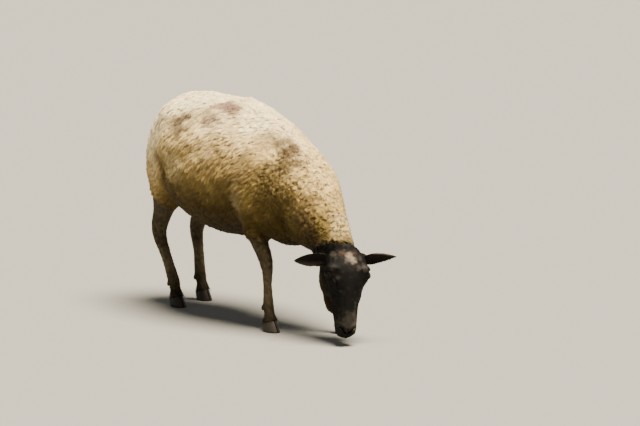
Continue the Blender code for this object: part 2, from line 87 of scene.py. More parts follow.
headStart = 0.33  # bare places ahead of this x are the head's
woolLow, woolTall = 0.30, 0.43  # the fleece's lowest height and how far up it goes
headTurn, headTilt = math.radians(22), math.radians(18)  # to her right, and muzzle ahead of plumb
eyePlace = {"down": 0.078, "side": 0.0595, "out": 0.0275}  # on the head, from the poll
eyeMiddle = {side: boxMiddle("eye_" + side) for side in ("left", "right")}
headSide = (eyeMiddle["left"] - eyeMiddle["right"]).normalized()
faceOut = Vector((
    math.cos(headTilt) * math.cos(headTurn),
    -math.cos(headTilt) * math.sin(headTurn),
    math.sin(headTilt),
))
faceOut = (faceOut - headSide * faceOut.dot(headSide)).normalized()
faceDown = headSide.cross(faceOut)
poll = (eyeMiddle["left"] + eyeMiddle["right"]) / 2 - faceDown * eyePlace["down"] - faceOut * eyePlace["out"]
headAxes = np.array([faceDown, headSide, faceOut])
earRoot = 0.066  # from the middle of the head out to the root of an ear
earsFrom = 0.38  # both ears are ahead of this x


# head places are (down, side, out): below the poll, to her left, out of the forehead
def toHead(points):
    return (points - np.array(poll)) @ headAxes.T


def onHead(down, side, out):
    return poll + faceDown * down + headSide * side + faceOut * out


def smoothStep(value, low, high):
    t = np.clip((value - low) / (high - low), 0, 1)
    return t * t * (3 - 2 * t)


def mix(a, b, share):
    return a + (b - a) * np.asarray(share)[..., None]


def unit(vectors):
    return vectors / np.maximum(np.linalg.norm(vectors, axis=-1, keepdims=True), 1e-9)


def gapTo(place, points):
    return np.linalg.norm(points - np.array(place), axis=1)


# what is left of vectors once they lie flat on the surface
def flatOn(normals, vectors):
    return vectors - normals * (vectors * normals).sum(1, keepdims=True)


# one way per tuft, by one size per station
def spread(ways, sizes):
    return ways[:, None, :] * sizes[..., None]


# sRGB hex to linear RGB
def linear(code):
    parts = np.array([int(code[i:i + 2], 16) / 255 for i in (1, 3, 5)])
    return np.where(parts <= 0.04045, parts / 12.92, ((parts + 0.055) / 1.055) ** 2.4)


# a soft random field, about -1 to 1, whose patches are about size across
def drift(points, size, seed, waves=14):
    own = np.random.default_rng(seed)
    ways = unit(own.normal(size=(waves, 3))) * (2 * math.pi / (size * own.uniform(1.2, 2.8, (waves, 1))))
    return np.sin(points @ ways.T + own.uniform(0, 2 * math.pi, waves)).sum(1) / math.sqrt(waves) * 0.9


# tables of places are in millimetres
def metres(table):
    if isinstance(table, (list, tuple)):
        return type(table)(metres(part) for part in table)
    return table / 1000 if isinstance(table, (int, float)) else table


def deselect():
    if bpy.context.object and bpy.context.object.mode != "OBJECT":
        bpy.ops.object.mode_set(mode="OBJECT")
    bpy.ops.object.select_all(action="DESELECT")


def pick(*objects):
    deselect()
    for obj in objects:
        obj.select_set(True)
    bpy.context.view_layer.objects.active = objects[0]


def applyModifier(obj, kind, **settings):
    pick(obj)
    modifier = obj.modifiers.new(kind.lower(), kind)
    for key, value in settings.items():
        setattr(modifier, key, value)
    bpy.ops.object.modifier_apply(modifier=modifier.name)


# runs one operator on the whole of the picked mesh
def editAll(operator, **settings):
    bpy.ops.object.mode_set(mode="EDIT")
    bpy.ops.mesh.select_all(action="SELECT")
    operator(**settings)
    bpy.ops.object.mode_set(mode="OBJECT")


def copyOf(obj):
    copy = obj.copy()
    copy.data = copy.data.copy()
    bpy.context.scene.collection.objects.link(copy)
    return copy


# copies of the frame's nodes as one piece of its own, free of their parents and marks
def ownPiece(name, copies):
    pick(*copies)
    if len(copies) > 1:
        bpy.ops.object.join()
    made = bpy.context.object
    bpy.ops.object.parent_clear(type="CLEAR_KEEP_TRANSFORM")
    bpy.ops.object.transform_apply(location=True, rotation=True, scale=True)
    for key in [k for k in made.keys() if k.startswith("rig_")]:
        del made[key]
    made.name = made.data.name = name
    editAll(bpy.ops.mesh.remove_doubles, threshold=0.00005)
    return made


def addObject(name, data):
    made = bpy.data.objects.new(name, data)
    bpy.context.scene.collection.objects.link(made)
    return made


# a round start for lids, eyes and dewclaws
def ball(name, segments, rings, radius=1, place=(0, 0, 0)):
    deselect()
    bpy.ops.mesh.primitive_uv_sphere_add(segments=segments, ring_count=rings, radius=radius, location=place)
    made = bpy.context.object
    made.name = made.data.name = name
    return made


# gives a finished piece its material and its body
def dress(piece, finish):
    piece.data.materials.clear()
    piece.data.materials.append(finish)
    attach(piece, "root")


def pointsOf(mesh):
    found = np.empty(len(mesh.vertices) * 3)
    mesh.vertices.foreach_get("co", found)
    return found.reshape(-1, 3)


def normalsOf(mesh):
    found = np.empty(len(mesh.vertices) * 3)
    mesh.vertex_normals.foreach_get("vector", found)
    return found.reshape(-1, 3)


def setPoints(mesh, points):
    mesh.vertices.foreach_set("co", np.asarray(points, np.float32).ravel())
    mesh.update()


# the coat's colour, held by the mesh
def paint(mesh, colours):
    layer = mesh.attributes.new("coat", "FLOAT_COLOR", "POINT")
    rgba = np.ones((len(colours), 4), np.float32)
    rgba[:, :3] = colours
    layer.data.foreach_set("color", rgba.ravel())


# adds a node, sets its inputs and properties, and links (its input, from node, output)
def node(tree, kind, links=(), **settings):
    made = tree.nodes.new(kind)
    for key, value in settings.items():
        if key[:3] == "in_":
            made.inputs[key[3:].replace("_", " ")].default_value = value
        else:
            setattr(made, key, value)
    for socket, other, output in links:
        tree.links.new(other.outputs[output], made.inputs[socket])
    return made


# the coat: how deep, what colour, which way it lies
coat = {
    "woolDepth": 0.0102,  # from the skin to the tips of the lying locks
    "tailDepth": 0.008,
    "hairDepth": 0.0012,
    "ruff": (-0.012, 0.020),  # on the head's (down, out): the wool's edge at the poll
    "ruffSlope": (0.955, 0.297),  # and the way that the edge plane faces
    "ruffFade": 0.030,
}
# where wool gives way to hair on each leg: a point on the edge, its upward slope, and its reach in x and y
legEdges = {
    "foreleg_right": ((0.138, -0.106, 0.286), (0.0, 0.45, 0.89), (0.066, 0.075)),
    "foreleg_left": ((0.230, 0.102, 0.292), (-0.35, -0.38, 0.86), (0.068, 0.075)),
    "hindleg_right": ((-0.430, -0.098, 0.358), (0.42, 0.32, 0.85), (0.088, 0.068)),
    "hindleg_left": ((-0.440, 0.098, 0.358), (0.42, -0.32, 0.85), (0.088, 0.068)),
}


# 1 in the fleece, 0 on the short-haired face and legs
def woolness(points):
    head = toHead(points)
    down, out = head[:, 0] - coat["ruff"][0], head[:, 2] - coat["ruff"][1]
    ahead = down * coat["ruffSlope"][0] + out * coat["ruffSlope"][1]
    ahead = np.where(points[:, 0] > headStart, ahead, -1)
    found = 1 - smoothStep(ahead, -coat["ruffFade"], 0.004)
    for place, slope, reach in legEdges.values():
        away = points - np.array(place)
        above = away @ unit(np.array(slope))
        near = (np.abs(away[:, 0]) < reach[0]) & (np.abs(away[:, 1]) < reach[1]) & (away[:, 2] < 0.06)
        found = np.where(near, np.minimum(found, smoothStep(above, -0.012, 0.030)), found)
    return np.where((points[:, 2] < 0.25) & (points[:, 0] < 0.42), 0, found)


# the way the coat lies: back and down on the body, up the face, down the legs
def lie(points, normals):
    head = toHead(points)
    onFace = smoothStep(head[:, 0], -0.03, 0.03) * (points[:, 0] > headStart)
    onLeg = smoothStep(0.33 - points[:, 2], 0.0, 0.06) * (points[:, 0] < 0.36)
    way = np.tile(np.array([-0.72, 0.0, -0.62]), (len(points), 1))
    way[:, 1] = np.clip(points[:, 1] / 0.06, -1, 1) * 0.25
    neck = smoothStep(points[:, 0], 0.16, 0.30)
    way = mix(way, np.array([-0.35, 0.0, -0.85]), neck)
    way = mix(way, np.array([-0.15, 0.0, -1.0]), onLeg)
    down, side, out = headAxes
    up = -down * 0.9 - out * 0.25 + np.sign(head[:, 1:2]) * side * 0.35
    way = mix(way, up, onFace)
    onEar = smoothStep(np.abs(head[:, 1]), earRoot, 0.080) * (points[:, 0] > earsFrom)
    onEar = onEar * (head[:, 0] > -0.02) * (head[:, 2] > -0.02)
    way = mix(way, np.sign(head[:, 1:2]) * side + 0.15 * down, onEar)
    stir = 0.35 * np.stack([drift(points, 0.09, 31 + i) for i in range(3)], 1)
    way = way + stir * (1 - 0.7 * onFace - 0.6 * onLeg)[:, None]
    return unit(flatOn(normals, way))


# the fold between thigh and flank, on her left; the right one mirrors it
flankFold = metres([
    (-372, 163, 522), (-345, 171, 506), (-319, 176, 475),
    (-315, 171, 442), (-324, 151, 400), (-355, 110, 362),
])
# the edge of the docked tail, down its left side and round its end
tailEdge = metres([
    (-545, 34, 655), (-560, 40, 620), (-568, 40, 570),
    (-560, 34, 520), (-555, 18, 497), (-553, 0, 490),
])


# how far flat points lie from a flat line of corners
def offLine(flat, corners):
    found = np.full(len(flat), 1e3)
    for a, b in zip(corners, corners[1:]):
        share = np.clip((flat - a) @ (b - a) / ((b - a) @ (b - a)), 0, 1)
        found = np.minimum(found, np.linalg.norm(flat - a - share[:, None] * (b - a), axis=1))
    return found


# 1 along the flank folds, seen from the side, and round the tail, seen from behind
def inFold(points):
    flank = offLine(points[:, ::2], np.array(flankFold)[:, ::2]) + 0.006 * drift(points, 0.03, 5)
    flank = (1 - smoothStep(flank, 0.002, 0.032)) * smoothStep(np.abs(points[:, 1]), 0.07, 0.10)
    behind = np.stack([np.abs(points[:, 1]), points[:, 2]], 1)
    tail = offLine(behind, np.array(tailEdge)[:, 1:]) + 0.002 * drift(points, 0.02, 6)
    tail = (1 - smoothStep(tail, 0.001, 0.013)) * (points[:, 0] < -0.50)
    tail = tail * smoothStep(0.66 - points[:, 2], 0, 0.04)
    return np.maximum(flank, tail)


colours = {
    "greyBrown": "#635039",
    "pinkGrey": "#957a6a",
    "goldBrown": "#77643a",
    "cream": "#dcc48e",
    "foldShade": "#4f3d20",
    "ruffBrown": "#2e2520",
    "black": "#080706",
    "faceGrey": "#3e3a35",
    "faceWhite": "#776d61",
    "faceRust": "#463128",
    "cheekBrown": "#403423",
    "legBrown": "#463d2c",
    "legDark": "#1a1510",
    "legPale": "#7b7058",
}
colours = {name: linear(code) for name, code in colours.items()}
# the fleece from the greasy belly up to the bleached back, with painted shade low down and painted light
# high up
fleeceWearAndShade = [
    (0.05, "#2c220c"), (0.25, "#4e3f18"), (0.42, "#84703c"),
    (0.56, "#b2985c"), (0.72, "#dfc488"), (0.92, "#f8e5b8"),
]

# soft-edged spots on the fleece: place, reach along x, y and z, colour and strength; most are the wool's own
# marks, some are painted shade and painted highlight
woolSpots = [
    ((-250, -147, 646), (82, 66, 50), "greyBrown", 0.95),
    ((-105, -132, 661), (66, 55, 28), "pinkGrey", 0.75),
    ((-56, -66, 700), (88, 50, 34), "pinkGrey", 1.0),
    ((-26, -60, 697), (38, 34, 24), "greyBrown", 0.45),
    # the next five: painted shade in the folds of the wool over the shoulder
    ((165, -70, 605), (65, 60, 50), "greyBrown", 0.40),
    ((196, -50, 609), (38, 42, 36), "greyBrown", 0.95),
    ((239, -50, 585), (42, 42, 36), "greyBrown", 0.95),
    ((280, -50, 556), (34, 40, 32), "greyBrown", 0.80),
    ((226, -110, 528), (60, 70, 90), "goldBrown", 0.80),
    ((110, -150, 530), (80, 70, 60), "greyBrown", 0.35),
    ((-30, -170, 560), (100, 60, 30), "greyBrown", 0.30),
    ((-240, -180, 505), (85, 60, 60), "cream", 0.60),
    # painted highlight on the ridge of the upper arm
    ((100, -160, 430), (30, 50, 60), "cream", 0.30),
    ((57, -62, 668), (18, 18, 12), "greyBrown", 0.8),
    ((360, -60, 400), (50, 70, 70), "greyBrown", 0.45),
    ((452, 4, 372), (50, 62, 52), "cream", 0.72),
    ((-250, 130, 640), (50, 50, 30), "greyBrown", 0.6),
    ((60, 80, 690), (70, 40, 30), "pinkGrey", 0.6),
]
# and on the head, in its own down, side and out
headSpots = [
    ((29, 6, 50), (21, 20, 30), "faceWhite", 0.88),
    ((40, -6, 50), (14, 10, 30), "faceGrey", 0.8),
    ((12, -20, 46), (10, 18, 30), "faceRust", 0.6),
    ((10, 20, 46), (9, 14, 30), "faceRust", 0.55),
    ((24, 38, 40), (14, 10, 30), "faceGrey", 0.6),
    ((14, -46, 20), (12, 14, 30), "faceGrey", 0.6),
    ((60, -54, 42), (10, 14, 30), "faceGrey", 0.18),
    ((92, -40, 50), (10, 10, 30), "faceGrey", 0.5),
    ((56, 52, 44), (16, 12, 30), "faceGrey", 0.55),
    ((60, 30, 50), (12, 10, 30), "faceGrey", 0.45),
    ((215, 22, 30), (50, 7, 50), "faceGrey", 0.55),
    ((228, 0, 36), (34, 30, 50), "faceGrey", 0.40),
]


# a base colour with the spots laid over it, their outlines roughened by edge
def spotted(base, places, spots, edge):
    for place, reach, name, strength in spots:
        away = np.linalg.norm((places - metres(place)) / metres(reach), axis=1) + edge
        base = mix(base, colours[name], strength * (1 - smoothStep(away, 0.35, 1.2)))
    return base


# the markings, with painted light and shade, the same for skin and coat
def coatColour(points, normals):
    wool = woolness(points)
    head = toHead(points)
    broad, fine, tiny = drift(points, 0.10, 1), drift(points, 0.025, 2), drift(points, 0.008, 3)
    fleck = drift(points * np.array([1, 1, 0.5]), 0.0045, 4)
    # painted light and shade over the grease and bleaching: paler higher up and where the surface faces up,
    # darker low down and where it faces down
    wearAndShade = 0.60 * (points[:, 2] - woolLow) / woolTall + 0.40 * (normals[:, 2] + 1) / 2
    wearAndShade = wearAndShade + 0.10 * smoothStep(points[:, 0], 0.22, 0.40)  # paler neck
    wearAndShade = wearAndShade + 0.27 * smoothStep(-points[:, 0], 0.31, 0.42)  # and rump
    wearAndShade = wearAndShade + 0.045 * broad + 0.02 * fine
    steps = np.array([level for level, code in fleeceWearAndShade])
    tones = np.array([linear(code) for level, code in fleeceWearAndShade])
    woolColour = np.stack([np.interp(wearAndShade, steps, tones[:, i]) for i in range(3)], 1)
    woolColour = spotted(woolColour, points, woolSpots, 0.20 * fine)
    # painted shade in the flank folds and round the tail, deeper on her right side
    woolColour = mix(woolColour, colours["foldShade"], np.where(points[:, 1] < 0, 0.65, 0.45) * inFold(points))
    woolColour = woolColour * (1 + 0.06 * fine + 0.06 * tiny)[:, None]
    ruff = smoothStep(head[:, 0] + 0.012 * fine + 0.006 * tiny, -0.052, -0.008) * (points[:, 0] > headStart)
    woolColour = mix(woolColour, colours["ruffBrown"], 0.9 * ruff)

    face = np.tile(colours["black"], (len(points), 1))
    face = mix(face, colours["faceGrey"], 0.16 * smoothStep(0.6 * fine + tiny, 0.5, 1.5))
    cheek = smoothStep(-head[:, 2] + 0.008 * fine, 0.005, 0.065) * smoothStep(head[:, 0], 0.00, 0.05)
    face = mix(face, colours["cheekBrown"], 0.7 * cheek)
    face = spotted(face, head, headSpots, 0.30 * fine + 0.30 * tiny)
    # painted highlight where the ears face up
    earTopHighlight = smoothStep(np.abs(head[:, 1]), 0.07, 0.09) * smoothStep(normals[:, 2], -0.1, 0.6)
    face = mix(face, colours["faceGrey"], 0.55 * earTopHighlight)
    ears = smoothStep(np.abs(head[:, 1]), earRoot, 0.08) * (head[:, 0] < 0.06)
    face = mix(face, colours["ruffBrown"], 0.3 * ears)
    leg = np.tile(colours["legBrown"], (len(points), 1))
    leg = mix(leg, colours["legPale"], 0.45 * (1 - np.minimum(1, np.abs(points[:, 2] - 0.15) / 0.06)))
    leg = mix(leg, colours["legDark"], 0.55 * smoothStep(0.4 * fine + 0.4 * tiny + 0.5 * fleck, -0.3, 0.9))
    leg = mix(leg, colours["legPale"], 0.22 * smoothStep(0.5 * tiny - 0.6 * fleck, 0.2, 1.0))
    leg = mix(leg, colours["legDark"], 0.55 * smoothStep(0.10 - points[:, 2], 0.0, 0.05))
    hair = mix(leg, face, points[:, 0] > headStart)
    return np.clip(mix(hair, woolColour, wool), 0.003, 1)


skinShape = {"voxel": 0.002, "faces": 165000, "sinkSteps": 4}
fleshNodes = [name for name in sorted(frame["nodes"]) if not name.startswith(("eye", "hoof"))]


# copies of the flesh, fused into one closed surface
def makeSkin():
    lidRadius = eyeShape["radius"] + eyeShape["lid"]
    lids = [ball("lids", 32, 20, lidRadius, eyeMiddle[side]) for side in ("left", "right")]
    skin = ownPiece("skin", [copyOf(frame["nodes"][name]) for name in fleshNodes] + lids)
    applyModifier(skin, "DISPLACE", mid_level=0, strength=0.0004)
    applyModifier(skin, "REMESH", mode="VOXEL", voxel_size=skinShape["voxel"])
    applyModifier(skin, "SMOOTH", iterations=3)
    points = pointsOf(skin.data)
    # the plainer the place, the fewer faces it keeps: the head keeps most, then the legs
    plain = skin.vertex_groups.new(name="plain")
    weight = np.where(points[:, 0] > 0.40, 0.45, np.where(points[:, 2] < 0.32, 0.7, 1.0))
    for value in np.unique(weight):
        plain.add(np.nonzero(weight == value)[0].tolist(), float(value), "REPLACE")
    ratio = skinShape["faces"] / (2 * len(skin.data.polygons))
    applyModifier(skin, "DECIMATE", ratio=ratio, vertex_group="plain", vertex_group_factor=0.0001)
    print("skin fused,", len(skin.data.polygons), "faces")
    return skin


# sinks the skin under the tips of the coat and smooths it where wool hides it
def sinkSkin(skin):
    mesh = skin.data
    points = pointsOf(mesh)
    wool = woolness(points)
    tailLow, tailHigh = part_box("tail")
    onTail = (points[:, 0] < tailHigh.x - 0.02) & (np.abs(points[:, 1]) < 0.045)
    onTail &= points[:, 2] > tailLow.z - 0.01
    deepest = np.where(onTail, coat["tailDepth"], coat["woolDepth"])
    depth = coat["hairDepth"] + (deepest - coat["hairDepth"]) * wool
    pick(skin)
    bpy.ops.object.mode_set(mode="EDIT")
    bpy.ops.mesh.select_mode(type="VERT")
    bpy.ops.object.mode_set(mode="OBJECT")
    for _ in range(skinShape["sinkSteps"]):
        setPoints(mesh, pointsOf(mesh) - normalsOf(mesh) * (depth / skinShape["sinkSteps"])[:, None])
        mesh.vertices.foreach_set("select", wool > 0.5)
        bpy.ops.object.mode_set(mode="EDIT")
        bpy.ops.mesh.vertices_smooth(factor=0.5, repeat=2)
        bpy.ops.object.mode_set(mode="OBJECT")
    print("skin sunk under the coat")


# forms under the coat: lines drawn on the skin, each with the reach that it fades over and its rise
bodyForms = [(flankFold, 0.017, -0.013), (tailEdge, 0.010, -0.013)] + metres([
    # the valley that runs up from the fold to the loin
    ([(-315, 178, 470), (-205, 197, 531), (-128, 189, 568), (-60, 169, 600)], 24, -12),
    # the hollow before the hip bone
    ([(-290, 151, 635), (-256, 134, 663), (-147, 137, 660)], 30, -16),
    # and the fold that runs on from it along the loin
    ([(-227, 181, 584), (-162, 166, 622), (-110, 143, 651), (-55, 114, 667)], 20, -9),
    ([(-191, 186, 560), (-97, 175, 590), (-30, 150, 625)], 22, 5),
    # a tuft standing on the back, and the dip behind it
    ([(-88, 8, 721), (-70, 30, 716)], 14, 6),
    ([(-140, 10, 723), (-116, 22, 722)], 17, -7),
    # the ends of the ribs
    ([(-110, 190, 500), (-40, 180, 560), (50, 140, 620)], 30, 4),
    # between shoulder and neck
    ([(151, 78, 613), (208, 91, 571), (245, 109, 513), (236, 122, 449), (206, 128, 383)], 24, -13),
    ([(246, 37, 587), (301, 61, 531), (301, 92, 486)], 20, 4),
    # the upper arm and the hollow behind it
    ([(105, 165, 500), (117, 163, 439), (128, 153, 385)], 22, 9),
    ([(64, 172, 440), (56, 151, 360)], 22, -12),
    # under the neck
    ([(307, 103, 424), (264, 99, 365)], 28, -13),
])
# on the head, as (down, side, out)
headForms = metres([
    ([(64, 36, 52), (59, 50, 46), (62, 64, 30)], 7.5, 3),  # brow
    ([(96, 47, 45), (108, 43, 44), (121, 39, 40)], 3.4, -3),  # tear pit
    ([(104, 53, 12), (130, 49, 6), (158, 40, 4)], 8, 2.2),  # bone below the eye
    ([(118, 55, -20), (148, 48, -26), (176, 38, -28)], 11, -3),  # before the jaw muscle
    ([(130, 22, 50), (190, 18, 44)], 7, -1.4),  # beside the nose bone
    ([(264, 6, 24), (257.5, 13, 30), (248, 19, 29), (242, 23, 20)], 2.6, -7.5),  # nostril
    ([(252, 7, 38), (240, 17, 36), (233, 25, 22)], 5.5, 1.8),  # wing of the nose
    ([(252, 0, 36), (262, 0, 28), (270, 0, 12)], 1.8, -3.4),  # split upper lip
    ([(270, 0, 4), (264, 14, 3), (248, 27, -6), (226, 34, -12), (206, 37, -14)], 2, -4.2),  # mouth
    ([(266, 8, 14), (252, 24, 8), (230, 31, 0)], 6, 1.6),  # upper lip
    ([(268, 0, -8), (256, 16, -14)], 7, 1.6),  # lower lip
    ([(40, 58, -10), (43, 72, -6)], 9, 4.5),  # root of the ear
    ([(4, 58, -12), (3, 72, -8)], 9, 3),
])
# tendon grooves on the legs, between the bone in front and the cord behind
legForms = metres([
    ([(150, -104, 200), (151, -101, 150), (157, -100, 105)], 5, -2.2),
    ([(150, -76, 200), (151, -73, 150), (157, -72, 105)], 5, -2.2),
    ([(284, 98, 200), (300, 95, 152), (316, 94, 105)], 5, -2.2),
    ([(284, 70, 200), (300, 67, 152), (316, 66, 105)], 5, -2.2),
    ([(-476, -88, 225), (-458, -82, 165), (-428, -77, 105)], 5, -2.4),
    ([(-490, 101, 225), (-492, 100, 165), (-484, 99, 105)], 5, -2.4),
    ([(-462, -92, 300), (-474, -88, 268)], 8, -4),
    ([(-472, 104, 300), (-484, 101, 268)], 8, -4),
])


def surfaceTree(mesh):
    return BVHTree.FromPolygons(pointsOf(mesh).tolist(), [tuple(face.vertices) for face in mesh.polygons])


# the drawn line laid on the surface in short steps
def laidLine(tree, corners, step):
    found = []
    for a, b in zip(corners, corners[1:]):
        a, b = Vector(a), Vector(b)
        count = max(1, round((b - a).length / step))
        found += [tree.find_nearest(a.lerp(b, i / count))[0] for i in range(count + 1)]
    return np.array(found)


# how far points lie from a laid line, where they lie near it at all
def awayFrom(points, line, reach):
    found = np.full(len(points), 1e3)
    near = np.nonzero(np.all((points > line.min(0) - 3 * reach) & (points < line.max(0) + 3 * reach), 1))[0]
    if len(near):
        gaps = np.linalg.norm(points[near][:, None, :] - line[None, :, :], axis=2)
        found[near] = gaps.min(1)
    return found


def press(mesh, lines):
    points, normals = pointsOf(mesh), normalsOf(mesh)
    for line, reach, depth in lines:
        away = awayFrom(points, line, reach)
        points = points + normals * (depth * np.exp(-((away / reach) ** 2)))[:, None]
    setPoints(mesh, points)


def shapeBody(skin):
    tree = surfaceTree(skin.data)
    lines = []
    for corners, reach, depth in bodyForms:
        for side in (-1, 1):
            placed = [(x, side * y, z) for x, y, z in corners]
            lines.append((laidLine(tree, placed, 0.008), reach, depth))
    for corners, reach, depth in legForms:
        lines.append((laidLine(tree, corners, 0.004), reach, depth))
    press(skin.data, lines)
    print("body forms pressed")


# the ears' blades stand a little taller than in the frame
def widenEars(skin):
    points = pointsOf(skin.data)
    head = toHead(points)
    for sign in (-1, 1):
        reach = head[:, 1] * sign
        beside = (head[:, 2] > -0.018) & (head[:, 0] > -0.010) & (head[:, 0] < 0.060)
        beside &= points[:, 0] > earsFrom
        blade = beside & (reach > 0.084)
        course = np.polyfit(reach[blade], head[blade, 0], 2)
        off = head[:, 0] - np.polyval(course, reach)
        onEar = np.nonzero(beside & (reach > earRoot))[0]
        grow = 0.30 * smoothStep(reach[onEar], earRoot, 0.084)
        grow = grow * (1 - 0.6 * smoothStep(reach[onEar], 0.12, 0.16))
        points[onEar] += (off[onEar] * grow)[:, None] * headAxes[0]
        if sign < 0:  # and the right one reaches a little further
            points[onEar] -= (0.009 * smoothStep(reach[onEar], 0.09, 0.16))[:, None] * headAxes[1]
    setPoints(skin.data, points)


eyeShape = {
    "radius": (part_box("eye_left")[1].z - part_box("eye_left")[0].z) / 2,
    "lid": 0.0016,  # thickness of the lids
    "halfLength": 0.86,  # of the opening, as a share of the radius
    "upper": 0.56,
    "lower": 0.46,
    "follow": 0.5,  # how far past the opening the lids follow the ball
    "turnIn": 0.0022,  # how deep the lids' edges turn in
    "cornea": 0.045,  # its bulge, as a share of the radius
}
finestEdges = ((0.0013, 0.0009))  # round after round, as the face is split
lineStep = 0.0015  # along the lines drawn on the face
# creases round the lids: height on the ball, reach and depth
lidCreases = (
    (0.88, 0.0016, -0.0016),
    (1.12, 0.0026, 0.0014),
    (-0.80, 0.0016, -0.0012),
    (-1.0, 0.003, 0.0010),
)


# the way that an eye looks, the long way of its opening towards the nose, and up to the brow
def eyeAxes(sign):
    gaze = (headSide * sign * 0.84 + faceOut * 0.52 - faceDown * 0.06).normalized()
    long = faceDown * 0.86 + faceOut * 0.42
    long = (long - gaze * long.dot(gaze)).normalized()
    up = gaze.cross(long)
    if up.dot(faceOut) < 0:
        up = -up
    return np.array([long, up, gaze])


# draws the lids over the ball and cuts the opening between them
def openLids(edit, sign, middle):
    axes, middle = eyeAxes(sign), np.array(middle)
    radius, half = eyeShape["radius"], eyeShape["halfLength"]
    lidRadius = radius + eyeShape["lid"]

    def onEye(vert):
        away = np.array(vert.co) - middle
        far = np.linalg.norm(away)
        return far, axes @ (away / far)

    def edgeHeight(x, y):
        span = max(0.0, 1 - (x / half) ** 2)
        return (eyeShape["upper"] if y > 0 else -eyeShape["lower"]) * span

    doomed = set()
    for vert in [v for v in edit.verts if (v.co - Vector(middle)).length < lidRadius + 0.006]:
        far, (x, y, z) = onEye(vert)
        if z < 0.05:
            continue
        beyond = abs(y) - abs(edgeHeight(x, y)) if abs(x) < half else abs(x) - half + abs(y)
        if beyond < eyeShape["follow"]:
            pull = 1 - min(1.0, max(0.0, beyond / eyeShape["follow"]))
            lip = 0.0005 * math.exp(-((beyond - 0.06) / 0.07) ** 2)
            goal = lidRadius + lip
            if far > goal or beyond < 0.1:
                vert.co = Vector(middle + (np.array(vert.co) - middle) / far * (far + (goal - far) * pull))
        if beyond < 0.0 and abs(x) < half:
            doomed.add(vert)
    faces = [f for f in edit.faces if all(v in doomed for v in f.verts)]
    bmesh.ops.delete(edit, geom=faces, context="FACES")
    loose = [v for v in edit.verts if not v.link_faces]
    bmesh.ops.delete(edit, geom=loose, context="VERTS")
    edges = [e for e in edit.edges if len(e.link_faces) == 1]
    edges = [e for e in edges if (e.verts[0].co - Vector(middle)).length < lidRadius + 0.004]
    for vert in {v for e in edges for v in e.verts}:
        far, (x, y, z) = onEye(vert)
        x = max(-half * 0.995, min(half * 0.995, x))
        y = edgeHeight(x, y)
        z = math.sqrt(max(0.0, 1 - x * x - y * y))
        vert.co = Vector(middle + (np.array([x, y, z]) @ axes) * lidRadius)
    made = bmesh.ops.extrude_edge_only(edit, edges=edges)["geom"]
    inner = [g for g in made if isinstance(g, bmesh.types.BMVert)]
    for vert in inner:
        away = np.array(vert.co) - middle
        vert.co = Vector(middle + away / np.linalg.norm(away) * (radius - eyeShape["turnIn"]))
    inner = set(inner)
    rim = [e for e in edit.edges if e.verts[0] in inner and e.verts[1] in inner and len(e.link_faces) == 1]
    behind = edit.verts.new(Vector(middle + axes[2] * radius * 0.25))
    for edge in rim:  # closed behind the ball
        edit.faces.new((edge.verts[0], edge.verts[1], behind))


# presses the face's forms into finer faces and opens the lids
def makeHead(skin):
    tree = surfaceTree(skin.data)
    lines = []
    for corners, reach, depth in headForms:
        for side in ((-1, 1) if any(abs(corner[1]) > 0 for corner in corners) else (1,)):
            placed = [onHead(down, side * across, out) for down, across, out in corners]
            lines.append((laidLine(tree, placed, lineStep), reach, depth))
    middles = {1: eyeMiddle["left"], -1: eyeMiddle["right"]}
    for sign, middle in middles.items():
        axes, big = eyeAxes(sign), eyeShape["radius"] + 0.003
        for level, reach, depth in lidCreases:
            crease = []
            for x in np.linspace(-0.8, 0.8, 13):
                y = level * (1 - 0.5 * x * x)
                away = np.array([x, y, math.sqrt(max(0.05, 1 - min(0.95, x * x + y * y)))])
                crease.append(tuple(np.array(middle) + unit(away[None])[0] @ axes * big))
            lines.append((laidLine(tree, crease, lineStep), reach, depth))
    edit = bmesh.new()
    edit.from_mesh(skin.data)
    for finest in finestEdges:
        points = np.array([v.co for v in edit.verts])
        near = np.zeros(len(points), bool)
        for line, reach, depth in lines:
            if reach < 0.004:
                near |= awayFrom(points, line, reach) < reach * 2.2 + 0.0006
        for middle in middles.values():
            near |= gapTo(middle, points) < eyeShape["radius"] + 0.0042
        edit.verts.ensure_lookup_table()
        fine = set(np.nonzero(near)[0].tolist())
        edges = [e for e in edit.edges if e.verts[0].index in fine and e.verts[1].index in fine]
        edges = [e for e in edges if e.calc_length() > finest]
        bmesh.ops.subdivide_edges(edit, edges=edges, cuts=1, use_grid_fill=True)
        bmesh.ops.triangulate(edit, faces=[f for f in edit.faces if len(f.verts) > 4])
        edit.verts.index_update()
    edit.to_mesh(skin.data)
    skin.data.update()
    press(skin.data, lines)
    edit.clear()
    edit.from_mesh(skin.data)
    for sign, middle in middles.items():
        openLids(edit, sign, middle)
    bmesh.ops.recalc_face_normals(edit, faces=edit.faces)
    edit.to_mesh(skin.data)
    edit.free()
    skin.data.update()
    print("head shaped,", len(skin.data.polygons), "faces in the skin")


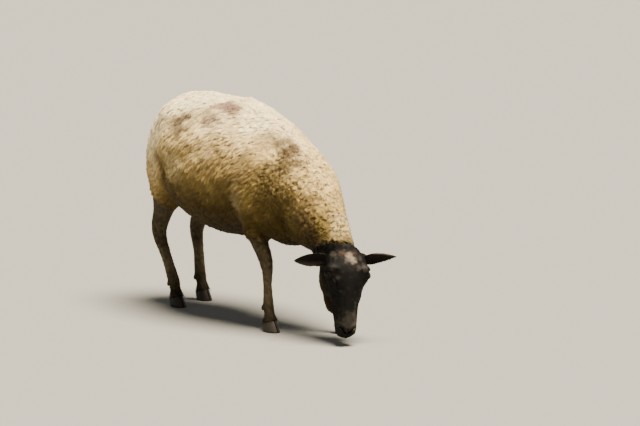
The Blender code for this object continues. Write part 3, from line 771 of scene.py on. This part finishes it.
def makeEye(side, sign, finish):
    axes, eye = eyeAxes(sign), ball(f"eyeball_{side}", 96, 64)
    points = pointsOf(eye.data)
    bulge = eyeShape["radius"] * (1 + eyeShape["cornea"] * smoothStep(points[:, 2], 0.72, 0.92))
    away = np.linalg.norm(points[:, :2], axis=1)
    pupil = (np.abs(points[:, 0]) / 0.40) ** 3 + (np.abs(points[:, 1]) / 0.17) ** 3
    fibres = drift(np.stack([np.arctan2(points[:, 1], points[:, 0]) * 4, away * 1.5, away * 0], 1), 0.5, 61)
    fibres = np.clip(0.5 + 0.5 * fibres, 0, 1) * smoothStep(away, 0.25, 0.6)
    brown = mix(linear("#110a05"), linear("#241509"), fibres)
    brown = mix(brown, linear("#120c07"), smoothStep(away, 0.66, 0.78))  # dark ring at its edge
    brown = mix(brown, linear("#1d1712"), smoothStep(away, 0.80, 0.90))  # stained white of the eye
    brown = mix(linear("#05060a"), brown, np.where(points[:, 2] > 0, smoothStep(pupil, 0.85, 1.15), 1))
    paint(eye.data, brown)
    if np.linalg.det(axes) < 0:
        eye.data.flip_normals()
    setPoints(eye.data, np.array(eyeMiddle[side]) + (points * bulge[:, None]) @ axes)
    eye.data.shade_smooth()
    dress(eye, finish)
    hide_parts("eye_" + side)


claws = {
    "voxel": 0.0010,
    "faces": 2600,
    "ring": 0.00012,  # height of the growth rings
    "ringGap": 0.0034,
}


def makeClaws(finish):
    for name in sorted(n for n in frame["nodes"] if n.startswith("hoof")):
        claw = ownPiece("claw" + name[4:], [copyOf(frame["nodes"][name])])
        applyModifier(claw, "REMESH", mode="VOXEL", voxel_size=claws["voxel"])
        applyModifier(claw, "SMOOTH", iterations=6)
        points, normals = pointsOf(claw.data), normalsOf(claw.data)
        height = points[:, 2] + 0.0015 * drift(points, 0.02, 71)
        rings = np.sin(height * 2 * math.pi / claws["ringGap"]) * smoothStep(points[:, 2], 0.004, 0.010)
        setPoints(claw.data, points + normals * (claws["ring"] * rings - 0.0001)[:, None])
        applyModifier(claw, "DECIMATE", ratio=claws["faces"] / len(claw.data.polygons))
        claw.data.shade_smooth()
        dress(claw, finish)
        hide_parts(name)
    print("claws made")


# the middle of each fetlock, and where the two small claws behind it sit
fetlocks = {
    "fore_right": (0.1658, -0.086, 0.088),
    "fore_left": (0.3268, 0.080, 0.088),
    "hind_right": (-0.4162, -0.063, 0.088),
    "hind_left": (-0.4762, 0.085, 0.088),
}
dewclaw = {"back": 0.0180, "apart": 0.0095, "below": 0.0150, "radii": (0.0062, 0.0050, 0.0085)}


def dewclawPlaces():
    for leg, (x, y, z) in fetlocks.items():
        for side in (-1, 1):
            yield leg, side, (x - dewclaw["back"], y + side * dewclaw["apart"], z - dewclaw["below"])


def makeDewclaws(finish):
    for leg, side, place in dewclawPlaces():
        cap = ball(f"dewclaw_{leg}_{'left' if side > 0 else 'right'}", 32, 24)
        points = pointsOf(cap.data)
        narrow = 1 - 0.30 * smoothStep(-points[:, 2], 0.0, 1.0)
        points = points * np.array(dewclaw["radii"]) * np.stack([narrow, narrow, np.ones(len(points))], 1)
        points[:, 0] += 0.25 * np.minimum(points[:, 2], 0)  # its tip leans back
        setPoints(cap.data, points + np.array(place))
        cap.data.shade_smooth()
        dress(cap, finish)
    print("dewclaws made")


# roots spread evenly over the mesh, as thick as weigh says
def scatter(mesh, count, weigh):
    mesh.calc_loop_triangles()
    corners = np.empty(len(mesh.loop_triangles) * 3, np.int32)
    mesh.loop_triangles.foreach_get("vertices", corners)
    corners = corners.reshape(-1, 3)
    # triangles in order of their corners, so that each run draws the same tufts
    first = corners.argmin(1)[:, None]
    corners = np.take_along_axis(corners, (first + np.arange(3)) % 3, 1)
    corners = corners[np.lexsort(corners.T[::-1])]
    points, normals = pointsOf(mesh), normalsOf(mesh)
    a, b, c = (points[corners[:, i]] for i in range(3))
    middle = (a + b + c) / 3
    share = np.linalg.norm(np.cross(b - a, c - a), axis=1) / 2 * weigh(middle)
    # triangles in a space-filling order, so that even steps through them are even over the body
    cells = ((middle - middle.min(0)) / 0.008).astype(np.int64)
    code = np.zeros(len(cells), np.int64)
    for bit in range(8):
        for axis in range(3):
            code |= ((cells[:, axis] >> bit) & 1) << (3 * bit + axis)
    order = np.argsort(code, kind="stable")
    running = np.cumsum(share[order])
    picks = (np.arange(count) + random.uniform(0, 1, count)) / count * running[-1]
    chosen = order[np.minimum(np.searchsorted(running, picks), len(order) - 1)]
    u, v = random.uniform(0, 1, (2, count))
    over = u + v > 1
    u, v = np.where(over, 1 - u, u), np.where(over, 1 - v, v)
    bary = np.stack([1 - u - v, u, v], 1)
    places = (points[corners[chosen]] * bary[:, :, None]).sum(1)
    ways = unit((normals[corners[chosen]] * bary[:, :, None]).sum(1))
    return places, ways


# ways turned in the surface, and the ways square to them
def turned(ways, normals, turn):
    ways = ways * np.cos(turn)[:, None] + np.cross(normals, ways) * np.sin(turn)[:, None]
    return ways, np.cross(normals, ways)


# closed three-sided tufts: paths is tufts x stations x 3, the last station the tip
def growTufts(name, paths, across, out, widths, flat, rootUv, colourAt, skinNormals, softness):
    count, stations = paths.shape[:2]
    rings = stations - 1
    angles = np.radians([90, 210, 330])
    sides = across[:, None, :] * np.cos(angles)[None, :, None]
    around = sides + out[:, None, :] * flat * np.sin(angles)[None, :, None]
    body = paths[:, :rings, None, :] + widths[:, :rings, None, None] * around[:, None, :, :]
    points = np.concatenate([body.reshape(count, rings * 3, 3), paths[:, -1:, :]], 1)
    each = rings * 3 + 1
    corners, sizes, patch = [], [], []
    for k in range(rings):
        low, high = k / rings, (k + 1) / rings
        for j in range(3):
            corners += [3 * k + j, 3 * k + (j + 1) % 3]
            patch += [(j / 3, low), ((j + 1) / 3, low)]
            if k < rings - 1:
                corners += [3 * k + 3 + (j + 1) % 3, 3 * k + 3 + j]
                patch += [((j + 1) / 3, high), (j / 3, high)]
            else:
                corners.append(each - 1)
                patch.append(((j + 0.5) / 3, 1))
            sizes.append(4 if k < rings - 1 else 3)
    corners += [2, 1, 0]
    patch += [(0, 0), (0.5, 0.1), (1, 0)]
    sizes.append(3)
    corners, sizes, patch = np.array(corners), np.array(sizes), np.array(patch)
    mesh = bpy.data.meshes.new(name)
    mesh.vertices.add(count * each)
    mesh.vertices.foreach_set("co", points.astype(np.float32).ravel())
    allCorners = (corners[None, :] + (np.arange(count) * each)[:, None]).ravel()
    allSizes = np.tile(sizes, count)
    mesh.loops.add(len(allCorners))
    mesh.loops.foreach_set("vertex_index", allCorners.astype(np.int32))
    mesh.polygons.add(len(allSizes))
    mesh.polygons.foreach_set("loop_start", np.concatenate([[0], np.cumsum(allSizes)[:-1]]).astype(np.int32))
    mesh.polygons.foreach_set("use_smooth", np.ones(len(allSizes), bool))
    mesh.update(calc_edges=True)
    layer = mesh.uv_layers.new(name="OFBake")
    uv = rootUv[:, None, :] + 0.003 * (patch[None, :, :] - 0.5)
    layer.data.foreach_set("uv", uv.astype(np.float32).ravel())
    share = np.concatenate([np.repeat(np.arange(rings) / rings, 3), [1.0]])
    paint(mesh, colourAt(share).reshape(-1, 3))
    # shading leans on the body's own form, so the coat looks soft
    lean = np.concatenate([np.tile(unit(around), (1, rings, 1)), out[:, None, :]], 1)
    lean = unit(lean * (1 - softness) + skinNormals[:, None, :] * softness)
    mesh.normals_split_custom_set_from_vertices(lean.reshape(-1, 3))
    return addObject(name, mesh)


def nearest(places, centres):
    tree = KDTree(len(centres))
    for i, centre in enumerate(centres):
        tree.insert(centre, i)
    tree.balance()
    return np.array([tree.find(place)[1] for place in places])


# an unwrap of the skin's own shape, read back at any root
def smartUnwrap(skin):
    proxy = copyOf(skin)
    applyModifier(proxy, "DECIMATE", ratio=8000 / len(proxy.data.polygons))
    pick(proxy)
    editAll(bpy.ops.uv.smart_project, angle_limit=math.radians(66), island_margin=0.002)
    mesh = proxy.data
    mesh.calc_loop_triangles()
    points = pointsOf(mesh)
    uv = np.empty(len(mesh.loops) * 2)
    mesh.uv_layers.active.data.foreach_get("uv", uv)
    uv = uv.reshape(-1, 2)
    corners = np.array([t.vertices for t in mesh.loop_triangles])
    loops = np.array([t.loops for t in mesh.loop_triangles])
    middles = points[corners].mean(1)
    bpy.data.objects.remove(proxy)

    def unwrap(places):
        who = nearest(places, middles)
        a, b, c = (points[corners[who, i]] for i in range(3))
        ab, ac, ap = b - a, c - a, places - a
        d00, d01, d11 = (ab * ab).sum(1), (ab * ac).sum(1), (ac * ac).sum(1)
        d20, d21 = (ap * ab).sum(1), (ap * ac).sum(1)
        under = np.maximum(d00 * d11 - d01 * d01, 1e-18)
        v = np.clip((d11 * d20 - d01 * d21) / under, -0.1, 1.1)
        w = np.clip((d00 * d21 - d01 * d20) / under, -0.1, 1.1)
        shares = (1 - v - w, v, w)
        spots = [uv[loops[who, i]] * shares[i][:, None] for i in range(3)]
        return np.clip(spots[0] + spots[1] + spots[2], 0.002, 0.998)

    return unwrap


fleece = {
    "locks": 99000,
    "lyingStaple": 11,  # locks that lean together into one staple on flank and back
    "curlyStaple": 5,  # and on shoulder and neck
    "stapleReach": 0.0075,
    "lieGrain": (0.77, 0.0, 0.64),  # lying staples are longer this way
    "grainPull": 0.62,  # and by this much
    "rise": 0.0084,  # how far the tips stand above the skin
    "run": 0.021,  # and how far they lie along it
    "width": 0.0020,  # half of a lock's width
    "flat": 0.7,
    "crimp": 0.0019,
    "pinch": 0.6,
    "strays": 0.06,
    "ripple": 0.0020,  # height of the ripples in the coat's surface
    "rippleSize": 0.0075,
    "softness": 0.85,
    "tuft": (-0.080, 0.018, 0.719),
    "tuftReach": 0.017,
    "lyingPieces": 4,
    "curlyPieces": 4,
}


def makeFleece(skin, wool, unwrap):
    def thick(points):
        return woolness(points) ** 0.7 * (1 + 0.9 * smoothStep(points[:, 0], 0.10, 0.22))

    places, normals = scatter(skin.data, fleece["locks"], thick)
    kept = woolness(places) > 0.18
    places, normals = places[kept], normals[kept]
    count = len(places)
    curl = smoothStep(places[:, 0] + 0.05 * drift(places, 0.08, 12), 0.07, 0.24)
    grain = np.array(fleece["lieGrain"])
    lengthwise = places - fleece["grainPull"] * (places @ grain)[:, None] * grain
    lying = random.permutation(count)[: count // fleece["lyingStaple"]]
    curly = random.permutation(count)[: count // fleece["curlyStaple"]]
    isCurly = curl + 0.45 * drift(places, 0.018, 13) > 0.5
    owner = np.where(
        isCurly,
        curly[nearest(places, places[curly])],
        lying[nearest(lengthwise, lengthwise[lying])],
    )
    gap = np.where(isCurly[:, None], places - places[owner], lengthwise - lengthwise[owner])
    fromMiddle = np.clip(np.linalg.norm(gap, axis=1) / fleece["stapleReach"], 0, 1)

    # soft ripples, long ones on flank and back and round ones on shoulder and neck
    def ripple(p):
        long = drift(p - fleece["grainPull"] * (p @ grain)[:, None] * grain, fleece["rippleSize"], 14)
        return long * (1 - curl) + drift(p, fleece["rippleSize"], 15) * curl

    height = ripple(places)
    nudge = 0.0005
    slope = np.stack([(ripple(places + nudge * axis) - height) / nudge for axis in np.eye(3)], 1)
    slope = slope * fleece["ripple"]
    lean = unit(normals - 1.1 * flatOn(normals, slope))

    def perStaple(low, high):
        return random.uniform(low, high, count)[owner]

    amount = smoothStep(woolness(places), 0.05, 0.85)
    ways = lie(places, normals)
    stray = random.uniform(0, 1, count) < fleece["strays"]
    rise = fleece["rise"] * amount * perStaple(0.88, 1.08) * random.uniform(0.92, 1.06, count)
    rise = rise * np.where(stray, 1.35, 1) * (1 - (0.20 + 0.12 * curl) * fromMiddle**1.5)
    rise = (rise + fleece["ripple"] * 0.6 * height * amount) * (1 - 0.35 * inFold(places))
    # a tuft that stands up on the back
    tuft = np.exp(-((gapTo(fleece["tuft"], places) / fleece["tuftReach"]) ** 2))
    rise = rise * (1 + 1.2 * tuft)
    run = fleece["run"] * (1 - 0.5 * tuft) * (0.4 + 0.6 * amount) * random.uniform(0.8, 1.2, count)
    run = run * (1 - 0.4 * curl) * np.where(stray, 0.6, 1)
    turn = random.normal(0, 0.22, count) + perStaple(-1, 1) * (0.18 + 1.1 * curl)
    ways, across = turned(ways, normals, turn)

    pinch = np.where(stray, 0.1, fleece["pinch"] * random.uniform(0.5, 1.2, count) * (1 - 0.3 * curl))
    phase = perStaple(0, 2 * math.pi) + random.normal(0, 0.5, count)
    crimp = fleece["crimp"] * amount * (0.7 + 0.8 * curl)
    width = fleece["width"] * (0.5 + 0.5 * amount) * random.uniform(0.8, 1.2, count)
    width = width * np.where(stray, 0.42, 1) * (1 - 0.20 * curl)
    out = unit(normals * 0.85 - ways * 0.25)
    base = coatColour(places, normals)
    tone = 1 + random.normal(0, 0.05, count) + random.normal(0, 0.07, count)[owner]
    # painted shade at the edges of each staple and painted light on the ripples' crests
    tone = tone * (1 - (0.16 + 0.12 * curl) * fromMiddle**1.2) * (1 + 0.10 * height)
    tip = base * tone[:, None]
    # painted shade at the roots, deep in the fleece: darker and olive-brown
    rootShade = linear("#8a744c")
    root = base * 0.80 + rootShade * base.mean(1, keepdims=True) * 0.16

    def route(who, rising, running):
        up = spread(normals[who], rise[who][:, None] * rising)
        return places[who][:, None, :] + up + spread(ways[who], run[who][:, None] * running)

    # along each lock: share of its length, height, reach and width
    shapes = {
        "lying": ((0, 0.42, 1), (0.05, 1, 0.88), (0, 0.32, 1), (1.1, 1.05, 0)),
        "curly": ((0, 0.4, 0.8, 1), (0.05, 0.92, 1, 0.84), (0, 0.24, 0.7, 1), (1.1, 1.1, 0.75, 0)),
    }
    for kind, shape in shapes.items():
        share, rising, running, wide = (np.array(part) for part in shape)
        group = np.nonzero(isCurly == (kind == "curly"))[0]
        group = group[np.argsort(places[group, 0] + 0.02 * random.uniform(0, 1, len(group)))]
        for number, who in enumerate(np.array_split(group, fleece[kind + "Pieces"])):
            own, lead = route(who, rising, running), route(owner[who], rising, running)
            paths = mix(own, lead, pinch[who][:, None] * share**1.4)
            wave = phase[who][:, None] + share * 2 * math.pi * 1.1
            size = crimp[who][:, None] * share
            paths = paths + spread(across[who], size * np.sin(wave))
            paths = paths + spread(normals[who], 0.6 * size * np.cos(wave))
            paths = np.clip(paths, np.array(cadBox[0]) - 0.001, np.array(cadBox[1]) + 0.001)

            def tones(part, who=who):
                # painted shade, deepening from tip to root
                deep = np.tile(0.7 * (1 - part) ** 1.5, (len(who), 1))
                return mix(tip[who][:, None, :], root[who][:, None, :], deep)

            piece = growTufts(
                f"wool_{kind}_{number + 1}", paths, across[who], out[who], width[who][:, None] * wide,
                fleece["flat"], unwrap(places[who]), tones, lean[who], fleece["softness"],
            )
            dress(piece, wool)
    print("fleece of", count, "locks,", int(isCurly.sum()), "of them curly")


shortHair = {
    "tufts": 30000,
    "length": 0.0075,
    "width": 0.0008,
    "lift": 0.16,
    "lowest": 0.027,  # roots stay above the claws
    "offEye": 0.003,  # and clear of the lids' edges
    "offDewclaw": 1.15,  # and of the dewclaws, in their radii
}


def makeHair(skin, hair, unwrap):
    count = shortHair["tufts"]

    def thick(points):
        return (1 - woolness(points)) * (1 + 1.2 * smoothStep(points[:, 0], headStart, 0.34))

    places, normals = scatter(skin.data, count, thick)
    head = toHead(places)
    onFace = (places[:, 0] > headStart) & (head[:, 0] > 0.0)
    nearEye = np.minimum(*(gapTo(middle, places) for middle in eyeMiddle.values()))
    kept = (nearEye > eyeShape["radius"] + shortHair["offEye"]) & (places[:, 2] > shortHair["lowest"])
    for leg, side, place in dewclawPlaces():
        away = np.linalg.norm((places - np.array(place)) / np.array(dewclaw["radii"]), axis=1)
        kept &= away > shortHair["offDewclaw"]
    places, normals, onFace, head = places[kept], normals[kept], onFace[kept], head[kept]
    count = len(places)
    ways = lie(places, normals)
    ways, across = turned(ways, normals, random.normal(0, 0.22, count))
    long = shortHair["length"] * random.uniform(0.7, 1.25, count) * np.where(onFace, 0.62, 1.0)
    long = long * (1 + 1.2 * woolness(places)) * np.where(onFace & (np.abs(head[:, 1]) > 0.075), 0.7, 1)
    lift = shortHair["lift"] * random.uniform(0.6, 1.4, count)
    lips = smoothStep(head[:, 0], 0.215, 0.245) * onFace
    long, lift = long * (1 - 0.5 * lips), lift * (1 - 0.4 * lips)
    coronet = smoothStep(0.055 - places[:, 2], 0.0, 0.014)  # hair hangs over the top of the claws
    long, lift = long * (1 + 0.5 * coronet), lift * (1 + 1.2 * coronet)
    share = np.array([0.0, 0.5, 1.0])
    paths = (places[:, None, :] - normals[:, None, :] * 0.0004) + spread(ways, long[:, None] * share)
    paths = paths + spread(normals, (long * lift)[:, None] * np.sin(share * 2.5))
    widths = shortHair["width"] * np.array([1.0, 0.8, 0.0]) * random.uniform(0.7, 1.3, count)[:, None]
    widths = widths * np.where(onFace, 0.8, 1.0)[:, None]
    base = coatColour(places, normals) * (1 + random.normal(0, 0.16, count))[:, None]
    base = np.clip(base, 0.003, 1)
    order = np.argsort(places[:, 0])
    for number, who in enumerate(np.array_split(order, 2)):
        def colourAt(part, who=who):
            own = base[who][:, None, :]
            # painted shade towards the hairs' roots
            return mix(own, own * 0.6, np.tile((1 - part) ** 2, (len(who), 1)))
        piece = growTufts(
            f"short_hair_{number + 1}", paths[who], across[who], normals[who], widths[who], 0.5,
            unwrap(places[who]), colourAt, normals[who], 0.6,
        )
        dress(piece, hair)
    print("short hair of", count, "tufts")


def material(name):
    made = bpy.data.materials.new(name)
    made.use_nodes = True
    tree = made.node_tree
    return made, tree, tree.nodes["Principled BSDF"]


# the piece's own colour, darkened and lightened by a pattern
def tintBy(tree, surface, pattern, output, **span):
    own = node(tree, "ShaderNodeAttribute", attribute_name="coat")
    shade = node(tree, "ShaderNodeMapRange", [("Value", pattern, output)], **span)
    links = [(0, own, "Color"), ("Scale", shade, "Result")]
    tint = node(tree, "ShaderNodeVectorMath", links, operation="SCALE")
    tree.links.new(tint.outputs["Vector"], surface.inputs["Base Color"])


def setSockets(surface, values):
    for name, value in values.items():
        surface.inputs[name].default_value = value


def woolMaterial():
    # raw sheep's wool, greasy and crimped: matte, with a soft bloom at the edges
    made, tree, surface = material("raw_crimped_wool")
    place = node(tree, "ShaderNodeTexCoord")
    # every lock's patch of the map runs up the lock, so a noise squeezed sideways gives its fibres
    patch = node(tree, "ShaderNodeUVMap", uv_map="OFBake")
    comb = node(tree, "ShaderNodeMapping", [("Vector", patch, "UV")], in_Scale=(6000.0, 1100.0, 1.0))
    fibre = node(tree, "ShaderNodeTexNoise", [("Vector", comb, "Vector")], in_Scale=1.0, in_Detail=2.0)
    kink = node(tree, "ShaderNodeTexNoise", [("Vector", place, "Object")], in_Scale=420.0, in_Detail=2.0)
    crimp = node(tree, "ShaderNodeMath", [(0, fibre, "Fac"), (1, kink, "Fac")], operation="ADD")
    span = {"in_From_Min": 0.6, "in_From_Max": 1.4, "in_To_Min": 0.70, "in_To_Max": 1.16}
    tintBy(tree, surface, crimp, "Value", **span)
    bump = node(tree, "ShaderNodeBump", [("Height", crimp, "Value")], in_Strength=0.7, in_Distance=0.0010)
    tree.links.new(bump.outputs["Normal"], surface.inputs["Normal"])
    setSockets(surface, {
        "Roughness": 0.92,
        "Specular IOR Level": 0.15,
        "Sheen Weight": 0.08,
        "Sheen Roughness": 0.5,
        "Sheen Tint": (1.0, 0.96, 0.88, 1),
    })
    return made


def hairMaterial(name, streaks):
    # short glossy guard hair lying flat over the hide: streaks about 1 mm wide, drawn out lengthwise
    made, tree, surface = material(name)
    place = node(tree, "ShaderNodeTexCoord")
    drawn = node(tree, "ShaderNodeMapping", [("Vector", place, "Object")], in_Scale=(1.0, 1.0, 0.22))
    strand = node(tree, "ShaderNodeTexNoise", [("Vector", drawn, "Vector")], in_Scale=900.0, in_Detail=3.0)
    tintBy(tree, surface, strand, "Fac", in_To_Min=0.6, in_To_Max=1.5)
    bump = node(tree, "ShaderNodeBump", [("Height", strand, "Fac")], in_Strength=streaks, in_Distance=0.0006)
    tree.links.new(bump.outputs["Normal"], surface.inputs["Normal"])
    setSockets(surface, {"Roughness": 0.64, "Specular IOR Level": 0.10})
    return made


def eyeMaterial():
    # a wet living eye: dark amber iris under clear cornea, with sharp highlights
    made, tree, surface = material("wet_amber_eye")
    place = node(tree, "ShaderNodeTexCoord")
    fleck = node(tree, "ShaderNodeTexNoise", [("Vector", place, "Object")], in_Scale=900.0, in_Detail=2.0)
    tintBy(tree, surface, fleck, "Fac", in_To_Min=0.7, in_To_Max=1.3)
    setSockets(surface, {
        "Roughness": 0.16,
        "IOR": 1.34,
        "Specular IOR Level": 0.12,
        "Coat Weight": 0.14,
        "Coat Roughness": 0.02,
    })
    return made


def hornMaterial():
    # dark hoof horn: streaked down its length, dull and a little dusty
    made, tree, surface = material("dark_hoof_horn")
    place = node(tree, "ShaderNodeTexCoord")
    drawn = node(tree, "ShaderNodeMapping", [("Vector", place, "Object")], in_Scale=(1.0, 1.0, 0.12))
    streak = node(tree, "ShaderNodeTexNoise", [("Vector", drawn, "Vector")], in_Scale=500.0, in_Detail=4.0)
    broad = node(tree, "ShaderNodeTexNoise", [("Vector", place, "Object")], in_Scale=60.0, in_Detail=3.0)
    tone = node(tree, "ShaderNodeValToRGB", [("Fac", streak, "Fac")])
    for stop, (position, code) in zip(tone.color_ramp.elements, ((0.3, "#15110d"), (0.75, "#40352a"))):
        stop.position = position
        stop.color = (*linear(code), 1)
    dust = node(tree, "ShaderNodeMixRGB", [("Fac", broad, "Fac"), ("Color1", tone, "Color")])
    dust.inputs["Color2"].default_value = (*linear("#2a231b"), 1)
    tree.links.new(dust.outputs["Color"], surface.inputs["Base Color"])
    rough = node(tree, "ShaderNodeMapRange", [("Value", broad, "Fac")], in_To_Min=0.45, in_To_Max=0.75)
    tree.links.new(rough.outputs["Result"], surface.inputs["Roughness"])
    bump = node(tree, "ShaderNodeBump", [("Height", streak, "Fac")], in_Strength=0.35, in_Distance=0.0005)
    tree.links.new(bump.outputs["Normal"], surface.inputs["Normal"])
    return made


view = {"azimuth": 55.2, "elevation": 9.9, "distance": 10.0, "lens": 170.5}
lookFrom = Vector((-0.1202, 0, 0))  # the point under her belly that the distance is measured from
lookAt = Vector((-0.016, 0.252, 0.333))


def makeStage():
    a, e = math.radians(view["azimuth"]), math.radians(view["elevation"])
    back = Vector((math.sin(a) * math.cos(e), -math.cos(a) * math.cos(e), math.sin(e)))
    camera = bpy.data.cameras.new("camera")
    camera.lens = view["lens"]
    camera.sensor_width = 36
    camera.clip_end = 200
    seat = addObject("camera", camera)
    seat.location = lookFrom + back * view["distance"]
    seat.rotation_euler = (lookAt - seat.location).to_track_quat("-Z", "Y").to_euler()
    bpy.context.scene.camera = seat

    deselect()
    bpy.ops.mesh.primitive_plane_add(size=380, location=(0, 0, -0.0005))
    floor = bpy.context.object
    floor.name = "floor"
    made, tree, surface = material("pale_painted_floor")
    setSockets(surface, {"Base Color": (0.25, 0.25, 0.245, 1), "Roughness": 0.9})
    floor.data.materials.append(made)

    right = Vector((math.cos(a), math.sin(a), 0))
    key = bpy.data.lights.new("key", "SUN")
    key.energy = 16
    key.angle = math.radians(32)
    key.color = linear("#fff0d6")
    lamp = addObject("key", key)
    lamp.location = (0, 0, 3)
    lamp.rotation_euler = (right * 0.22 + back * 0.20 + Vector((0, 0, 1))).to_track_quat("Z", "Y").to_euler()
    world = bpy.data.worlds.new("studio")
    bpy.context.scene.world = world
    world.use_nodes = True
    setSockets(world.node_tree.nodes["Background"], {"Color": (0.84, 0.84, 0.80, 1), "Strength": 0.28})


makeStage()
skin = makeSkin()
shapeBody(skin)
widenEars(skin)
sinkSkin(skin)
makeHead(skin)
woolFinish = woolMaterial()
hairFinish = hairMaterial("short_guard_hair", 0.4)
hideFinish = hairMaterial("haired_hide", 0.6)
eyeFinish = eyeMaterial()
paint(skin.data, coatColour(pointsOf(skin.data), normalsOf(skin.data)))
skin.data.shade_smooth()
dress(skin, hideFinish)
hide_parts(*fleshNodes)
makeEye("left", 1, eyeFinish)
makeEye("right", -1, eyeFinish)
hornFinish = hornMaterial()
makeClaws(hornFinish)
makeDewclaws(hornFinish)
unwrap = smartUnwrap(skin)
makeFleece(skin, woolFinish, unwrap)
makeHair(skin, hairFinish, unwrap)
